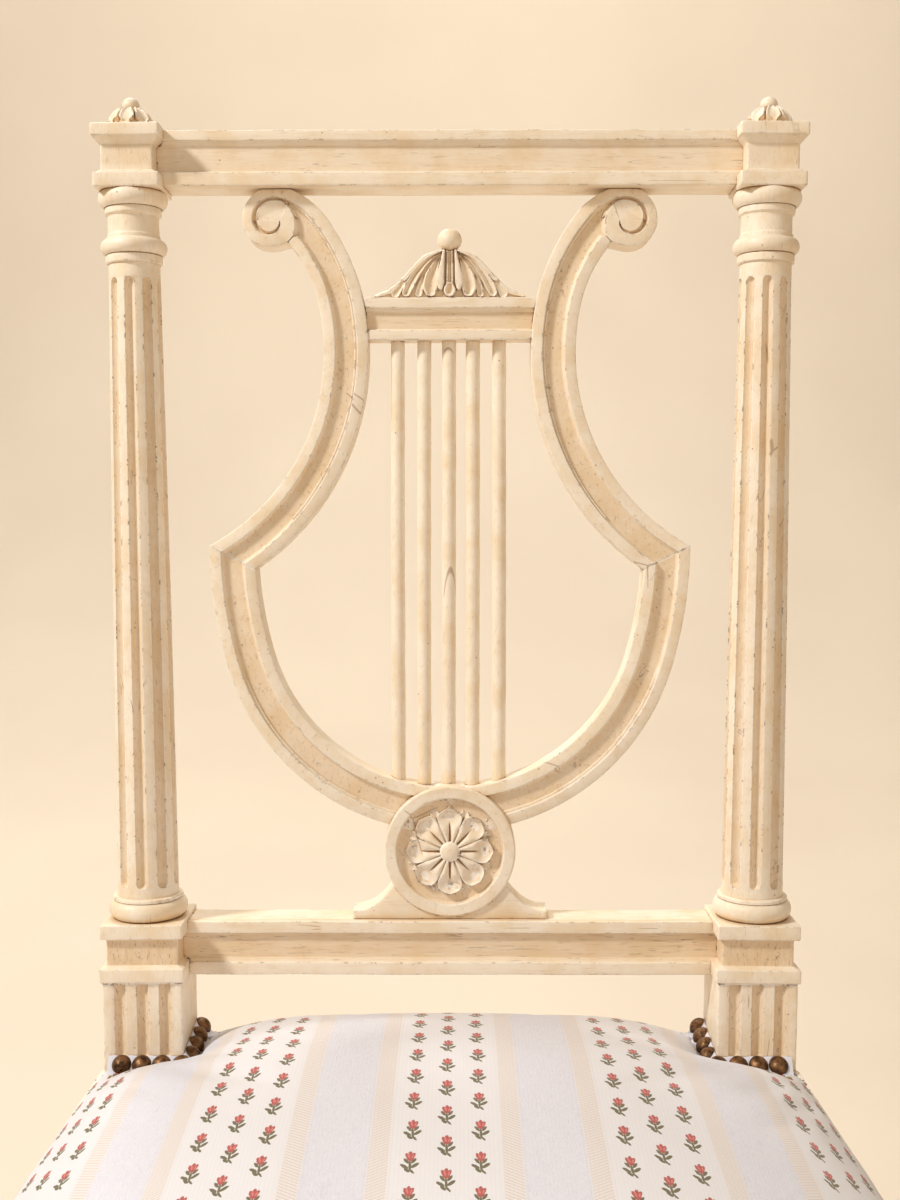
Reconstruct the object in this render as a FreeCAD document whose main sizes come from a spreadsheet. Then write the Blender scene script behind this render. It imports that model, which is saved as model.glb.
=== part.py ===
import FreeCAD, Part
import math
import os
import re
from types import SimpleNamespace

import Sketcher
from FreeCAD import Placement, Rotation, Vector

# Lyre back chair, in millimetres. X is to the sitter's left-hand picture side positive right,
# Y runs from the front of the seat to the back, Z is up, and the floor is Z = 0.
# The back is drawn flat in its own plane (x across, y through its thickness, z up along it,
# with z = 0 on top of the posts' plinths) and is then leaned back by the rake.

SIZES = [
    # Seat frame
    ("seat_height", 430.0, "floor to the top of the seat rails"),
    ("seat_front_width", 476.0, "over the front leg blocks"),
    ("seat_depth", 385.0, "front leg axis to rear post axis"),
    ("seat_rail_height", 62.0, "height of each seat rail"),
    ("seat_rail_thickness", 24.0, "thickness of each seat rail"),
    ("seat_rail_inset", 1.5, "set-back of the rails from the blocks"),
    ("rail_panel_height", 16.0, "sunk panel on the outside of the seat rails"),
    ("rail_panel_depth", 2.5, "depth of that panel"),
    ("rail_panel_above_bottom", 8.0, "lower edge of the panel above the rail's bottom"),
    ("rail_panel_end_margin", 10.0, "plain wood at each end of the panel"),
    ("tenon_thickness", 8.0, "seat rail tenons"),
    ("tenon_height", 40.0, "seat rail tenons"),
    ("tenon_length", 16.0, "all rail tenons"),
    ("joint_clearance", 0.15, "play round tenons, dowels and pegs"),
    ("mortise_end_gap", 1.0, "space past the end of a tenon"),
    # Front legs
    ("leg_block_width", 46.0, "square block of the front leg"),
    ("leg_block_height", 66.0, "block below the seat's top"),
    ("leg_collar_radius", 20.0, "ring below the block"),
    ("leg_collar_height", 9.0, "height of that ring"),
    ("leg_neck_radius", 15.0, "neck above and below the ring"),
    ("leg_neck_height", 6.0, "each neck"),
    ("leg_top_radius", 18.5, "fluted taper at the top"),
    ("leg_ankle_radius", 11.5, "fluted taper at the bottom"),
    ("leg_foot_radius", 14.0, "turned toe"),
    ("leg_foot_height", 34.0, "toe below the taper"),
    ("leg_foot_bevel", 3.0, "slope above the toe's band"),
    ("leg_foot_band", 5.0, "upright band of the toe"),
    ("leg_sole_radius", 10.5, "bottom of the toe"),
    ("leg_sole_waist", 9.5, "hollow of the toe"),
    ("turned_overlap", 2.0, "turned part let up into the block"),
    ("leg_flute_count", 8, "flutes round the front leg"),
    ("leg_flute_radius", 3.0, "flutes of the front leg"),
    ("leg_flute_margin", 12.0, "plain wood above and below the flutes"),
    ("patera_radius", 14.0, "turned button on the front blocks"),
    ("patera_height", 3.5, "its height"),
    # Rear legs
    ("back_rake", 8.0, "degrees that the back leans from upright"),
    ("post_splay", 0.62, "degrees that each post leans outwards"),
    ("rear_foot_setback", 44.0, "foot of the rear leg behind the post"),
    ("rear_foot_width", 28.0, "rear leg at the floor"),
    ("rear_leg_curve", 1.35, "power of the rear leg's backward sweep"),
    # Posts, lower block
    ("post_spacing", 350.0, "column axis to column axis at the plinth"),
    ("nail_level", 80.0, "plinth top above the seat rail top, along the back"),
    ("plinth_width", 46.8, "plinth slab"),
    ("plinth_thickness", 8.2, "plinth slab"),
    ("lower_die_width", 40.6, "plain block under the plinth"),
    ("lower_die_height", 15.8, "plain block under the plinth"),
    ("lower_slab_width", 48.0, "slab under the block"),
    ("lower_slab_thickness", 8.8, "slab under the block"),
    ("stile_width", 45.2, "square stile below the slab"),
    ("stile_flute_width", 6.7, "three flutes on the stile's face"),
    ("stile_flute_pitch", 12.8, "middle to middle"),
    ("stile_flute_depth", 2.8, "depth of these flutes"),
    ("stile_flute_length", 44.6, "from the slab down to their round ends"),
    # Posts, column
    ("column_height", 413.9, "plinth top to the capital's slab"),
    ("base_torus_radius", 22.4, "ring at the foot of the column"),
    ("base_torus_height", 11.0, "its height"),
    ("base_fillet_radius", 19.8, "thin fillet on it"),
    ("base_fillet_height", 2.0, "its height"),
    ("shaft_bottom_radius", 17.4, "column shaft at the foot"),
    ("shaft_top_radius", 14.4, "column shaft at the top"),
    ("shaft_fillet_radius", 15.9, "fillet that ends the shaft"),
    ("shaft_fillet_height", 4.5, "its height"),
    ("astragal_radius", 18.5, "ring below the neck"),
    ("astragal_height", 9.0, "its height"),
    ("collar_radius", 15.0, "fillet on that ring"),
    ("collar_height", 2.2, "its height"),
    ("neck_radius", 14.35, "plain neck"),
    ("neck_height", 11.5, "its height"),
    ("echinus_fillet_radius", 15.8, "fillet below the echinus"),
    ("echinus_fillet_height", 4.0, "its height"),
    ("echinus_radius", 19.2, "rounded cushion under the slab"),
    ("echinus_height", 9.0, "its height"),
    ("column_flute_count", 9, "flutes round the column"),
    ("column_flute_radius", 3.0, "radius of each flute"),
    ("column_flute_margin", 7.5, "plain wood above and below the flutes"),
    ("right_column_turn", -6.0, "degrees that the right column's flutes are turned"),
    # Posts, top block
    ("top_slab_width", 37.0, "slab over the echinus"),
    ("top_slab_thickness", 8.0, "its thickness"),
    ("top_fillet_width", 32.4, "fillet over the slab"),
    ("top_fillet_height", 1.3, "its height"),
    ("top_die_width", 29.3, "plain block"),
    ("top_die_height", 14.9, "its height"),
    ("cavetto_height", 3.6, "hollow under the cap"),
    ("cavetto_angle", 33.0, "flare of that hollow in degrees"),
    ("cap_width", 38.2, "cap of the post"),
    ("cap_thickness", 7.1, "its thickness"),
    # Finials
    ("finial_base_radius", 12.2, "foot of the bud"),
    ("finial_base_height", 1.6, "its plain edge"),
    ("finial_neck_radius", 4.0, "under the ball"),
    ("finial_cup_height", 9.6, "bud from cap to ball"),
    ("finial_ball_radius", 4.9, "ball"),
    ("finial_peg_radius", 3.0, "peg into the cap"),
    ("finial_peg_length", 12.0, "peg into the cap"),
    # Back rails
    ("back_rail_height", 31.0, "both rails of the back"),
    ("back_rail_front", 6.5, "rail face in front of the column axis"),
    ("back_rail_thickness", 25.4, "both rails of the back"),
    ("crest_rail_bottom", 416.7, "above the plinth top"),
    ("lower_rail_top", 2.2, "below the plinth top"),
    ("back_rail_border", 6.3, "flat edge round the sunk panel"),
    ("back_rail_panel_depth", 3.0, "depth of the sunk panel"),
    ("back_tenon_height", 20.0, "tenons of the back rails"),
    ("back_tenon_thickness", 9.0, "tenons of the back rails"),
    ("housing_clearance", 0.2, "play round a rail let into a moulded block"),
    ("peg_radius", 2.5, "pegs through the tenons"),
    # Lyre
    ("lyre_front", 0.5, "front of the lyre behind the column axis"),
    ("lyre_thickness", 18.4, "thickness of arms, bowls and medallion back"),
    ("arm_width", 25.4, "width of the arms"),
    ("bowl_width", 26.0, "width of the bowls"),
    ("lyre_border", 6.3, "flat edge each side of the channel"),
    ("channel_depth", 3.0, "channel in arms and bowls"),
    ("waist_half_width", 59.1, "lyre's middle to the arm's centre line at the waist"),
    ("waist_height", 325.0, "waist above the plinth top"),
    ("arm_lower_radius", 138.1, "arm below the blend"),
    ("arm_upper_radius", 97.0, "arm above the blend"),
    ("arm_blend_angle", 11.7, "degrees above the waist"),
    ("scroll_radius", 16.2, "scroll"),
    ("scroll_offset", 102.2, "lyre's middle to the scroll's centre"),
    ("scroll_height", 400.6, "scroll's centre above the plinth top"),
    ("scroll_blend_radius", 32.0, "easing arc from arm to scroll"),
    ("scroll_groove_width", 2.4, "spiral groove"),
    ("scroll_groove_start", 11.6, "its first radius"),
    ("scroll_groove_end", 6.2, "its last radius"),
    ("scroll_groove_turn", 400.0, "degrees that it winds"),
    ("bowl_centre_height", 181.3, "centre of the bowl's lower arc"),
    ("bowl_lower_radius", 120.2, "bowl's lower arc"),
    ("bowl_upper_radius", 241.3, "bowl's upper arc"),
    ("bowl_blend_angle", 16.3, "degrees below level where the arcs meet"),
    ("medallion_height", 37.7, "centre above the plinth top"),
    ("medallion_radius", 37.9, "outside of the rim"),
    ("medallion_rim", 7.5, "width of the rim"),
    ("medallion_proud", 4.0, "rim in front of the lyre"),
    ("medallion_sink", 4.0, "depth inside the rim"),
    ("rosette_radius", 25.5, "flower"),
    ("rosette_petals", 8, "petals"),
    ("petal_radius", 7.4, "round end of a petal"),
    ("rosette_height", 3.0, "thickness of the flower"),
    ("button_radius", 6.0, "middle of the flower"),
    ("button_height", 4.2, "its height over the flower's back"),
    ("foot_half_width", 56.0, "lyre foot"),
    ("foot_end_height", 4.8, "its low ends"),
    ("foot_lip", 1.5, "flat on top of each end"),
    ("foot_top_height", 20.2, "where it meets the medallion, above the rail"),
    ("foot_proud", 2.0, "foot in front of the lyre"),
    ("yoke_bottom", 331.8, "above the plinth top"),
    ("yoke_height", 24.0, "yoke"),
    ("yoke_setback", 1.0, "yoke behind the arms' face"),
    ("yoke_border", 6.0, "flat edge above and below its panel"),
    ("yoke_tenon_height", 12.0, "yoke's tenons"),
    ("yoke_tenon_thickness", 7.0, "yoke's tenons"),
    ("yoke_tenon_length", 7.0, "into each arm"),
    ("string_radius", 4.0, "rods"),
    ("string_pitch", 14.7, "middle to middle"),
    ("string_count", 5, "rods"),
    ("string_seat", 5.0, "depth that a rod is let in at each end"),
    ("crest_half_width", 43.4, "carved crest on the yoke"),
    ("crest_height", 27.0, "its height under the ball"),
    ("crest_thickness", 13.0, "its thickness"),
    ("crest_edge", 2.0, "its thin outer ends"),
    ("crest_neck", 8.0, "half width under the ball"),
    ("crest_shoulder_width", 26.0, "half width where its edge turns from round to hollow"),
    ("crest_shoulder_height", 12.5, "height of that turn"),
    ("crest_sag", 1.9, "how far both curves leave their chords"),
    ("yoke_ball_radius", 6.9, "ball on the crest"),
    ("dowel_radius", 3.0, "hidden dowels"),
    ("dowel_depth", 9.0, "each way from the joint"),
    # Braces
    ("brace_thickness", 18.0, "corner braces"),
    ("brace_height", 36.0, "corner braces"),
    ("brace_drop", 8.0, "brace below the rails' top"),
    ("front_brace_leg", 78.0, "front brace from the rails' inner corner"),
    ("rear_brace_leg", 84.0, "rear brace from the rails' inner corner"),
    ("screw_radius", 2.2, "brace screws"),
    ("screw_head_radius", 4.2, "brace screws"),
    ("screw_length", 32.0, "brace screws"),
    ("screw_head_height", 2.4, "brace screws"),
    # Upholstery
    ("web_width", 50.0, "webbing strap"),
    ("web_thickness", 1.4, "webbing strap"),
    ("web_pitch_across", 56.0, "between lengthwise straps"),
    ("web_pitch_along", 72.0, "between crosswise straps"),
    ("web_count", 5, "straps each way"),
    ("web_end_inset", 9.0, "strap end from the rail's outer face"),
    ("web_shift", 12.0, "crosswise straps nearer the front by this much"),
    ("tack_radius", 3.2, "tack heads"),
    ("tack_thickness", 0.6, "tack heads"),
    ("tack_spacing", 14.0, "between tacks in a strap"),
    ("tack_inset", 6.0, "tacks from a strap's end"),
    ("cloth_gap", 0.1, "between stacked cloths"),
    ("hessian_thickness", 0.9, "cloth over the webbing"),
    ("crown_height", 50.0, "top of the seat above the rails"),
    ("cover_thickness", 1.2, "fabric"),
    ("cover_gap", 0.3, "fabric to what is under it"),
    ("cover_drop", 27.0, "fabric's lower edge below the rails' top"),
    ("cover_corner_radius", 1.6, "fabric round the front blocks"),
    ("rebate_gap", 1.0, "rebate in the front blocks below the fabric's edge"),
    ("nail_radius", 5.5, "domed nail head"),
    ("nail_dome", 3.6, "its height"),
    ("nail_pitch", 12.2, "nail to nail"),
    ("nail_drop", 22.0, "nail line below the rails' top"),
    ("hem_width", 8.0, "folded fabric round each post's foot, equally high"),
    ("trough_width", 12.0, "low ground between a post and the crown"),
    ("trough_rise", 70.0, "height over which the crown falls back from a post"),
    ("trough_run", 42.0, "distance over which it does so"),
]

doc = FreeCAD.newDocument("LyreBackChair")
sheet = doc.addObject("Spreadsheet::Sheet", "Sizes")
for row, (alias, value, note) in enumerate(SIZES, start=1):
    sheet.set(f"A{row}", alias)
    sheet.set(f"B{row}", str(value))
    sheet.setAlias(f"B{row}", alias)
    sheet.set(f"C{row}", note)
doc.recompute()
S = SimpleNamespace(**{alias: getattr(sheet, alias) for alias, _, _ in SIZES})

# Rotations that stand a sketch up: x to the right and y up, facing the front,
# or x to the back and y up, facing right.
FACING_FRONT = Rotation(Vector(1, 0, 0), 90)
FACING_RIGHT = Rotation(Vector(1, 1, 1), 120)
FLAT = Rotation()
WAYS = {"left": -1, "right": 1}

sub_parts = []


def cell(text):
    """Turns plain size names in an expression into references to the sheet."""
    return re.sub("[a-z_]+", lambda word: f"Sizes.{word[0]}" if word[0] in vars(S) else word[0], text)


def bind(feature, **expressions):
    """Binds properties to cells; a double underscore stands for a dot in the property's path."""
    for path, text in expressions.items():
        feature.setExpression(path.replace("__", "."), cell(text))


def keep(feature, label, placement):
    """Notes a finished sub-part with its name and its place in the chair's frame."""
    feature.Label = label
    sub_parts.append((feature, placement))
    return feature


def origin_plane(body, role):
    return next(plane for plane in body.Origin.OriginFeatures if plane.Role == role)


def new_sketch(body, name, place=Vector(), rotation=FLAT, **expressions):
    sketch = body.newObject("Sketcher::SketchObject", name)
    sketch.AttachmentSupport = [(origin_plane(body, "XY_Plane"), "")]
    sketch.MapMode = "FlatFace"
    sketch.AttachmentOffset = Placement(place, rotation)
    for axis, text in expressions.items():
        sketch.setExpression(f"AttachmentOffset.Base.{axis}", cell(text))
    return sketch


def rectangle(sketch, width, height):
    """A rectangle centred on the sketch's origin, its two sizes bound to the sheet."""
    corners = [Vector(-5, -5), Vector(5, -5), Vector(5, 5), Vector(-5, 5)]
    first = sketch.GeometryCount
    for start, end in zip(corners, corners[1:] + corners[:1]):
        sketch.addGeometry(Part.LineSegment(start, end), False)
    for side in range(4):
        sketch.addConstraint(Sketcher.Constraint("Coincident", first + side, 2, first + (side + 1) % 4, 1))
    for side, way in enumerate(("Horizontal", "Vertical", "Horizontal", "Vertical")):
        sketch.addConstraint(Sketcher.Constraint(way, first + side))
    sketch.addConstraint(Sketcher.Constraint("Symmetric", first, 1, first + 1, 2, -1, 1))
    across = sketch.addConstraint(Sketcher.Constraint("DistanceX", first, 1, first, 2, 10))
    up = sketch.addConstraint(Sketcher.Constraint("DistanceY", first + 1, 1, first + 1, 2, 10))
    sketch.setExpression(f"Constraints[{across}]", cell(width))
    sketch.setExpression(f"Constraints[{up}]", cell(height))
    return sketch


def circle(sketch, radius, x=0.0, y=0.0):
    """A circle whose radius is bound to the sheet."""
    index = sketch.addGeometry(Part.Circle(Vector(x, y), Vector(0, 0, 1), 3), False)
    if x == 0.0 and y == 0.0:
        sketch.addConstraint(Sketcher.Constraint("Coincident", index, 3, -1, 1))
    size = sketch.addConstraint(Sketcher.Constraint("Radius", index, 3))
    sketch.setExpression(f"Constraints[{size}]", cell(radius))
    return sketch


def outline(sketch, *steps):
    """A closed outline: each step is a point, or (middle, point) for an arc through the middle."""
    ends = [step[1] if isinstance(step, tuple) else step for step in steps]
    for index, step in enumerate(steps):
        start = ends[index - 1]
        if isinstance(step, tuple):
            sketch.addGeometry(Part.Arc(start, step[0], step[1]), False)
        elif (step - start).Length > 1e-6:
            sketch.addGeometry(Part.LineSegment(start, step), False)
    return sketch


def extrude(body, kind, sketch, length, symmetric=False, reverse=False, taper=None):
    feature = body.newObject(f"PartDesign::{kind}", f"{sketch.Name}_{kind}")
    feature.Profile = sketch
    feature.SideType = "Symmetric" if symmetric else "One side"
    feature.Reversed = reverse
    feature.setExpression("Length", cell(length))
    if taper:
        feature.setExpression("TaperAngle", cell(taper))
    sketch.Visibility = False
    return feature


def revolve(body, sketch, kind="Revolution", axis="V_Axis"):
    feature = body.newObject(f"PartDesign::{kind}", f"{sketch.Name}_{kind}")
    feature.Profile = sketch
    feature.ReferenceAxis = (sketch, [axis])
    feature.Angle = 360
    return feature


def polar(body, feature, count, axis_role="Z_Axis"):
    pattern = body.newObject("PartDesign::PolarPattern", f"{feature.Name}_Ring")
    pattern.Originals = [feature]
    pattern.Axis = (origin_plane(body, axis_role), [""])
    pattern.Angle = 360
    pattern.setExpression("Occurrences", cell(count))
    body.Tip = pattern
    return pattern


def solid_part(name, shape):
    feature = doc.addObject("Part::Feature", name)
    feature.Shape = shape
    return feature


def cylinder_between(start, end, radius):
    return Part.makeCylinder(radius, (end - start).Length, start, end - start)


# The back's own frame, and each post's frame in it.
back_frame = (Placement(Vector(0, 0, S.seat_height), Rotation(Vector(1, 0, 0), -S.back_rake))
              * Placement(Vector(0, 0, S.nail_level), FLAT))
splay = math.radians(S.post_splay)
rake = math.radians(S.back_rake)


def post_frame(way):
    """The frame of one post: its axis is Z and the top of its plinth is Z = 0."""
    lean = Rotation(Vector(0, 1, 0), way * S.post_splay)
    return back_frame * Placement(Vector(way * S.post_spacing / 2, 0, 0), lean)


def post_seat_x():
    """Half the distance between the posts' axes at the seat's height."""
    return S.post_spacing / 2 - S.nail_level * math.sin(splay)


joint_depth = S.stile_width / math.cos(rake)
front_leg_x = (S.seat_front_width - S.leg_block_width) / 2
rail_bottom = S.seat_height - S.seat_rail_height
post_inner_x = post_seat_x() - S.stile_width / 2
post_outer_x = post_seat_x() + S.stile_width / 2


# Rear posts

def column_profile():
    """Half outline of everything turned on the post, from the plinth up to the top slab."""
    z = 0.0
    steps = [Vector(0, z), Vector(S.base_torus_radius - S.base_torus_height / 2, z)]
    middle = Vector(S.base_torus_radius, z + S.base_torus_height / 2)
    z += S.base_torus_height
    steps.append((middle, Vector(S.base_torus_radius - S.base_torus_height / 2, z)))
    steps.append(Vector(S.base_fillet_radius, z))
    z += S.base_fillet_height
    steps += [Vector(S.base_fillet_radius, z), Vector(S.shaft_bottom_radius, z)]
    z = shaft_top()
    steps += [Vector(S.shaft_top_radius, z), Vector(S.shaft_fillet_radius, z)]
    z += S.shaft_fillet_height
    steps.append(Vector(S.shaft_fillet_radius, z))
    half = S.astragal_height / 2
    steps.append(Vector(S.astragal_radius - half, z))
    steps.append((Vector(S.astragal_radius, z + half), Vector(S.astragal_radius - half, z + 2 * half)))
    z += S.astragal_height
    steps.append(Vector(S.collar_radius, z))
    z += S.collar_height
    steps += [Vector(S.collar_radius, z), Vector(S.neck_radius, z)]
    z += S.neck_height
    steps += [Vector(S.neck_radius, z), Vector(S.echinus_fillet_radius, z)]
    z += S.echinus_fillet_height
    steps.append(Vector(S.echinus_fillet_radius, z))
    bulge = Vector(S.echinus_radius - 0.6, z + S.echinus_height * 0.45)
    steps.append((bulge, Vector(S.echinus_radius, S.column_height)))
    steps.append(Vector(0, S.column_height))
    return steps


def shaft_bottom():
    return S.base_torus_height + S.base_fillet_height


def shaft_top():
    above = (S.shaft_fillet_height + S.astragal_height + S.collar_height + S.neck_height
             + S.echinus_fillet_height + S.echinus_height)
    return S.column_height - above


def flute_cutter(body, name, low, high, low_radius, high_radius, flute_radius, turn=0.0):
    """A round-ended cutter along the slope of a tapered shaft, turned about its own slanted axis."""
    slope = math.degrees(math.atan2(low_radius - high_radius, high - low))
    length = (high - low) / math.cos(math.radians(slope))
    start = Rotation(Vector(0, 0, 1), turn).multVec(Vector(0, -low_radius, low))
    rotation = (Rotation(Vector(0, 0, 1), turn) * FACING_RIGHT * Rotation(Vector(0, 0, 1), -slope))
    sketch = new_sketch(body, name, start, rotation)
    radius = flute_radius
    diagonal = radius * math.sqrt(0.5)
    outline(sketch, Vector(0, 0), (Vector(diagonal, radius - diagonal), Vector(radius, radius)),
            Vector(radius, length - radius),
            (Vector(diagonal, length - radius + diagonal), Vector(0, length)))
    return revolve(body, sketch, "Groove")


def rear_post(side):
    way = WAYS[side]
    body = doc.addObject("PartDesign::Body", f"rear_post_{side}")
    frame = post_frame(way)
    into_post = frame.inverse()

    turned = new_sketch(body, f"column_{side}", rotation=FACING_FRONT)
    outline(turned, *column_profile())
    revolve(body, turned)

    level = "0"
    for name, width, thickness in (("plinth", "plinth_width", "plinth_thickness"),
                                   ("lower_die", "lower_die_width", "lower_die_height"),
                                   ("lower_slab", "lower_slab_width", "lower_slab_thickness")):
        sketch = new_sketch(body, f"{name}_{side}", z=f"-({level})")
        extrude(body, "Pad", rectangle(sketch, width, width), thickness, reverse=True)
        level = f"{level} + {thickness}"
    stile = new_sketch(body, f"stile_{side}", z=f"-({level})")
    extrude(body, "Pad", rectangle(stile, "stile_width", "stile_width"),
            f"nail_level - ({level}) + 4", reverse=True)

    level = "column_height"
    for name, width, thickness in (("top_slab", "top_slab_width", "top_slab_thickness"),
                                   ("top_fillet", "top_fillet_width", "top_fillet_height"),
                                   ("top_die", "top_die_width", "top_die_height"),
                                   ("cavetto", "top_die_width", "cavetto_height"),
                                   ("cap", "cap_width", "cap_thickness")):
        sketch = new_sketch(body, f"{name}_{side}", z=level)
        taper = "cavetto_angle" if name == "cavetto" else None
        extrude(body, "Pad", rectangle(sketch, width, width), thickness, taper=taper)
        level = f"{level} + {thickness}"

    # Upright part behind the seat rails, then the leg that sweeps back to the floor.
    seat_point = Vector(way * post_seat_x(), 0, S.seat_height)
    joint = new_sketch(body, f"joint_{side}")
    joint.AttachmentOffset = into_post * Placement(seat_point, FLAT)
    extrude(body, "Pad", rectangle(joint, "stile_width", f"stile_width / cos(back_rake * 1 deg)"),
            "seat_rail_height", reverse=True)
    leg = body.newObject("PartDesign::AdditiveLoft", f"leg_{side}")
    sections = []
    for index, part in enumerate((0.0, 0.3, 0.62, 1.0)):
        height = rail_bottom * (1 - part)
        width = S.stile_width + (S.rear_foot_width - S.stile_width) * part
        depth = joint_depth + (S.rear_foot_width - joint_depth) * part
        back = S.rear_foot_setback * part ** S.rear_leg_curve
        sketch = new_sketch(body, f"leg_section_{side}_{index}")
        sketch.AttachmentOffset = into_post * Placement(
            Vector(way * post_seat_x(), back, height), FLAT)
        outline(sketch, *[Vector(x * width / 2, y * depth / 2)
                          for x, y in ((-1, -1), (1, -1), (1, 1), (-1, 1))])
        sections.append(sketch)
    leg.Profile = sections[0]
    leg.Sections = sections[1:]

    # Housings and mortises for the two back rails.
    for name, low, die in (("crest", S.crest_rail_bottom, S.top_die_width),
                           ("lower", -S.lower_rail_top - S.back_rail_height, S.lower_die_width)):
        play = S.housing_clearance
        middle_y = S.back_rail_thickness / 2 - S.back_rail_front
        housing = new_sketch(body, f"{name}_housing_{side}", rotation=FACING_RIGHT,
                             place=Vector(-way * die / 2, middle_y, low + S.back_rail_height / 2))
        rectangle(housing, "back_rail_thickness + 2 * housing_clearance",
                  "back_rail_height + 2 * housing_clearance")
        extrude(body, "Pocket", housing, "plinth_width", reverse=way < 0)
        mortise = new_sketch(body, f"{name}_mortise_{side}", rotation=FACING_RIGHT,
                             place=Vector(-way * die / 2, middle_y, low + S.back_rail_height / 2))
        rectangle(mortise, "back_tenon_thickness + 4 * joint_clearance",
                  "back_tenon_height + 4 * joint_clearance")
        extrude(body, "Pocket", mortise, "tenon_length + mortise_end_gap", reverse=way > 0)
        peg = new_sketch(body, f"{name}_peg_hole_{side}", rotation=FACING_FRONT,
                         place=Vector(-way * (die / 2 - S.tenon_length / 2), S.plinth_width,
                                      low + S.back_rail_height / 2))
        circle(peg, "peg_radius + joint_clearance")
        extrude(body, "Pocket", peg, "plinth_width - back_rail_thickness / 2 + back_rail_front"
                " + back_tenon_thickness / 2 + mortise_end_gap + joint_clearance", reverse=True)

    # Mortises for the seat rails, square to the post.
    side_mortise = new_sketch(body, f"side_mortise_{side}")
    side_mortise.AttachmentOffset = into_post * Placement(
        Vector(way * side_rail_x(-joint_depth / 2), -joint_depth / 2,
               S.seat_height - S.seat_rail_height / 2), FACING_FRONT)
    rectangle(side_mortise, "tenon_thickness + 2 * joint_clearance", "tenon_height + 2 * joint_clearance")
    extrude(body, "Pocket", side_mortise, "tenon_length + mortise_end_gap")
    back_mortise = new_sketch(body, f"back_mortise_{side}")
    back_mortise.AttachmentOffset = into_post * Placement(
        Vector(way * post_inner_x, back_rail_y(), S.seat_height - S.seat_rail_height / 2), FACING_RIGHT)
    rectangle(back_mortise, "tenon_thickness + 2 * joint_clearance", "tenon_height + 2 * joint_clearance")
    extrude(body, "Pocket", back_mortise, "tenon_length + mortise_end_gap", reverse=way > 0)

    # Three flutes on the stile's face, and the ring of flutes on the column.
    slab_bottom = -(S.plinth_thickness + S.lower_die_height + S.lower_slab_thickness)
    half = S.stile_flute_width / 2
    for place in (-1, 0, 1):
        flute = new_sketch(body, f"stile_flute_{side}_{place + 2}", rotation=FACING_FRONT,
                           place=Vector(place * S.stile_flute_pitch, -S.stile_width / 2, slab_bottom))
        end = -S.stile_flute_length + half
        outline(flute, Vector(half, 0), Vector(-half, 0), Vector(-half, end),
                (Vector(0, end - half), Vector(half, end)))
        extrude(body, "Pocket", flute, "stile_flute_depth")
    turn = S.right_column_turn if side == "right" else 0.0
    low = shaft_bottom() + S.column_flute_margin
    high = shaft_top() - S.column_flute_margin
    taper = (S.shaft_bottom_radius - S.shaft_top_radius) / (shaft_top() - shaft_bottom())
    groove = flute_cutter(body, f"column_flute_{side}", low, high,
                          S.shaft_bottom_radius - taper * S.column_flute_margin,
                          S.shaft_top_radius + taper * S.column_flute_margin,
                          S.column_flute_radius, turn)
    polar(body, groove, "column_flute_count")

    # Hole for the finial's peg.
    hole = new_sketch(body, f"finial_hole_{side}", z=level)
    circle(hole, "finial_peg_radius + joint_clearance")
    extrude(body, "Pocket", hole, "finial_peg_length + mortise_end_gap")
    return keep(body, f"rear_post_{side}", frame)


def cap_top():
    return (S.column_height + S.top_slab_thickness + S.top_fillet_height + S.top_die_height
            + S.cavetto_height + S.cap_thickness)


def finial(side):
    body = doc.addObject("PartDesign::Body", f"finial_{side}")
    sketch = new_sketch(body, f"finial_outline_{side}", rotation=FACING_FRONT)
    neck = S.finial_neck_radius
    ball = S.finial_ball_radius
    centre = S.finial_cup_height + math.sqrt(ball ** 2 - neck ** 2)
    waist = Vector((S.finial_base_radius + neck) / 2 - 1.2, S.finial_cup_height * 0.55)
    outline(sketch, Vector(0, -S.finial_peg_length), Vector(S.finial_peg_radius, -S.finial_peg_length),
            Vector(S.finial_peg_radius, 0), Vector(S.finial_base_radius, 0),
            Vector(S.finial_base_radius, S.finial_base_height),
            (waist, Vector(neck, S.finial_cup_height)),
            (Vector(ball, centre), Vector(0, centre + ball)))
    revolve(body, sketch)
    place = post_frame(WAYS[side]) * Placement(Vector(0, 0, cap_top()), FLAT)
    return keep(body, f"finial_{side}", place)


# Back rails

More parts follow.
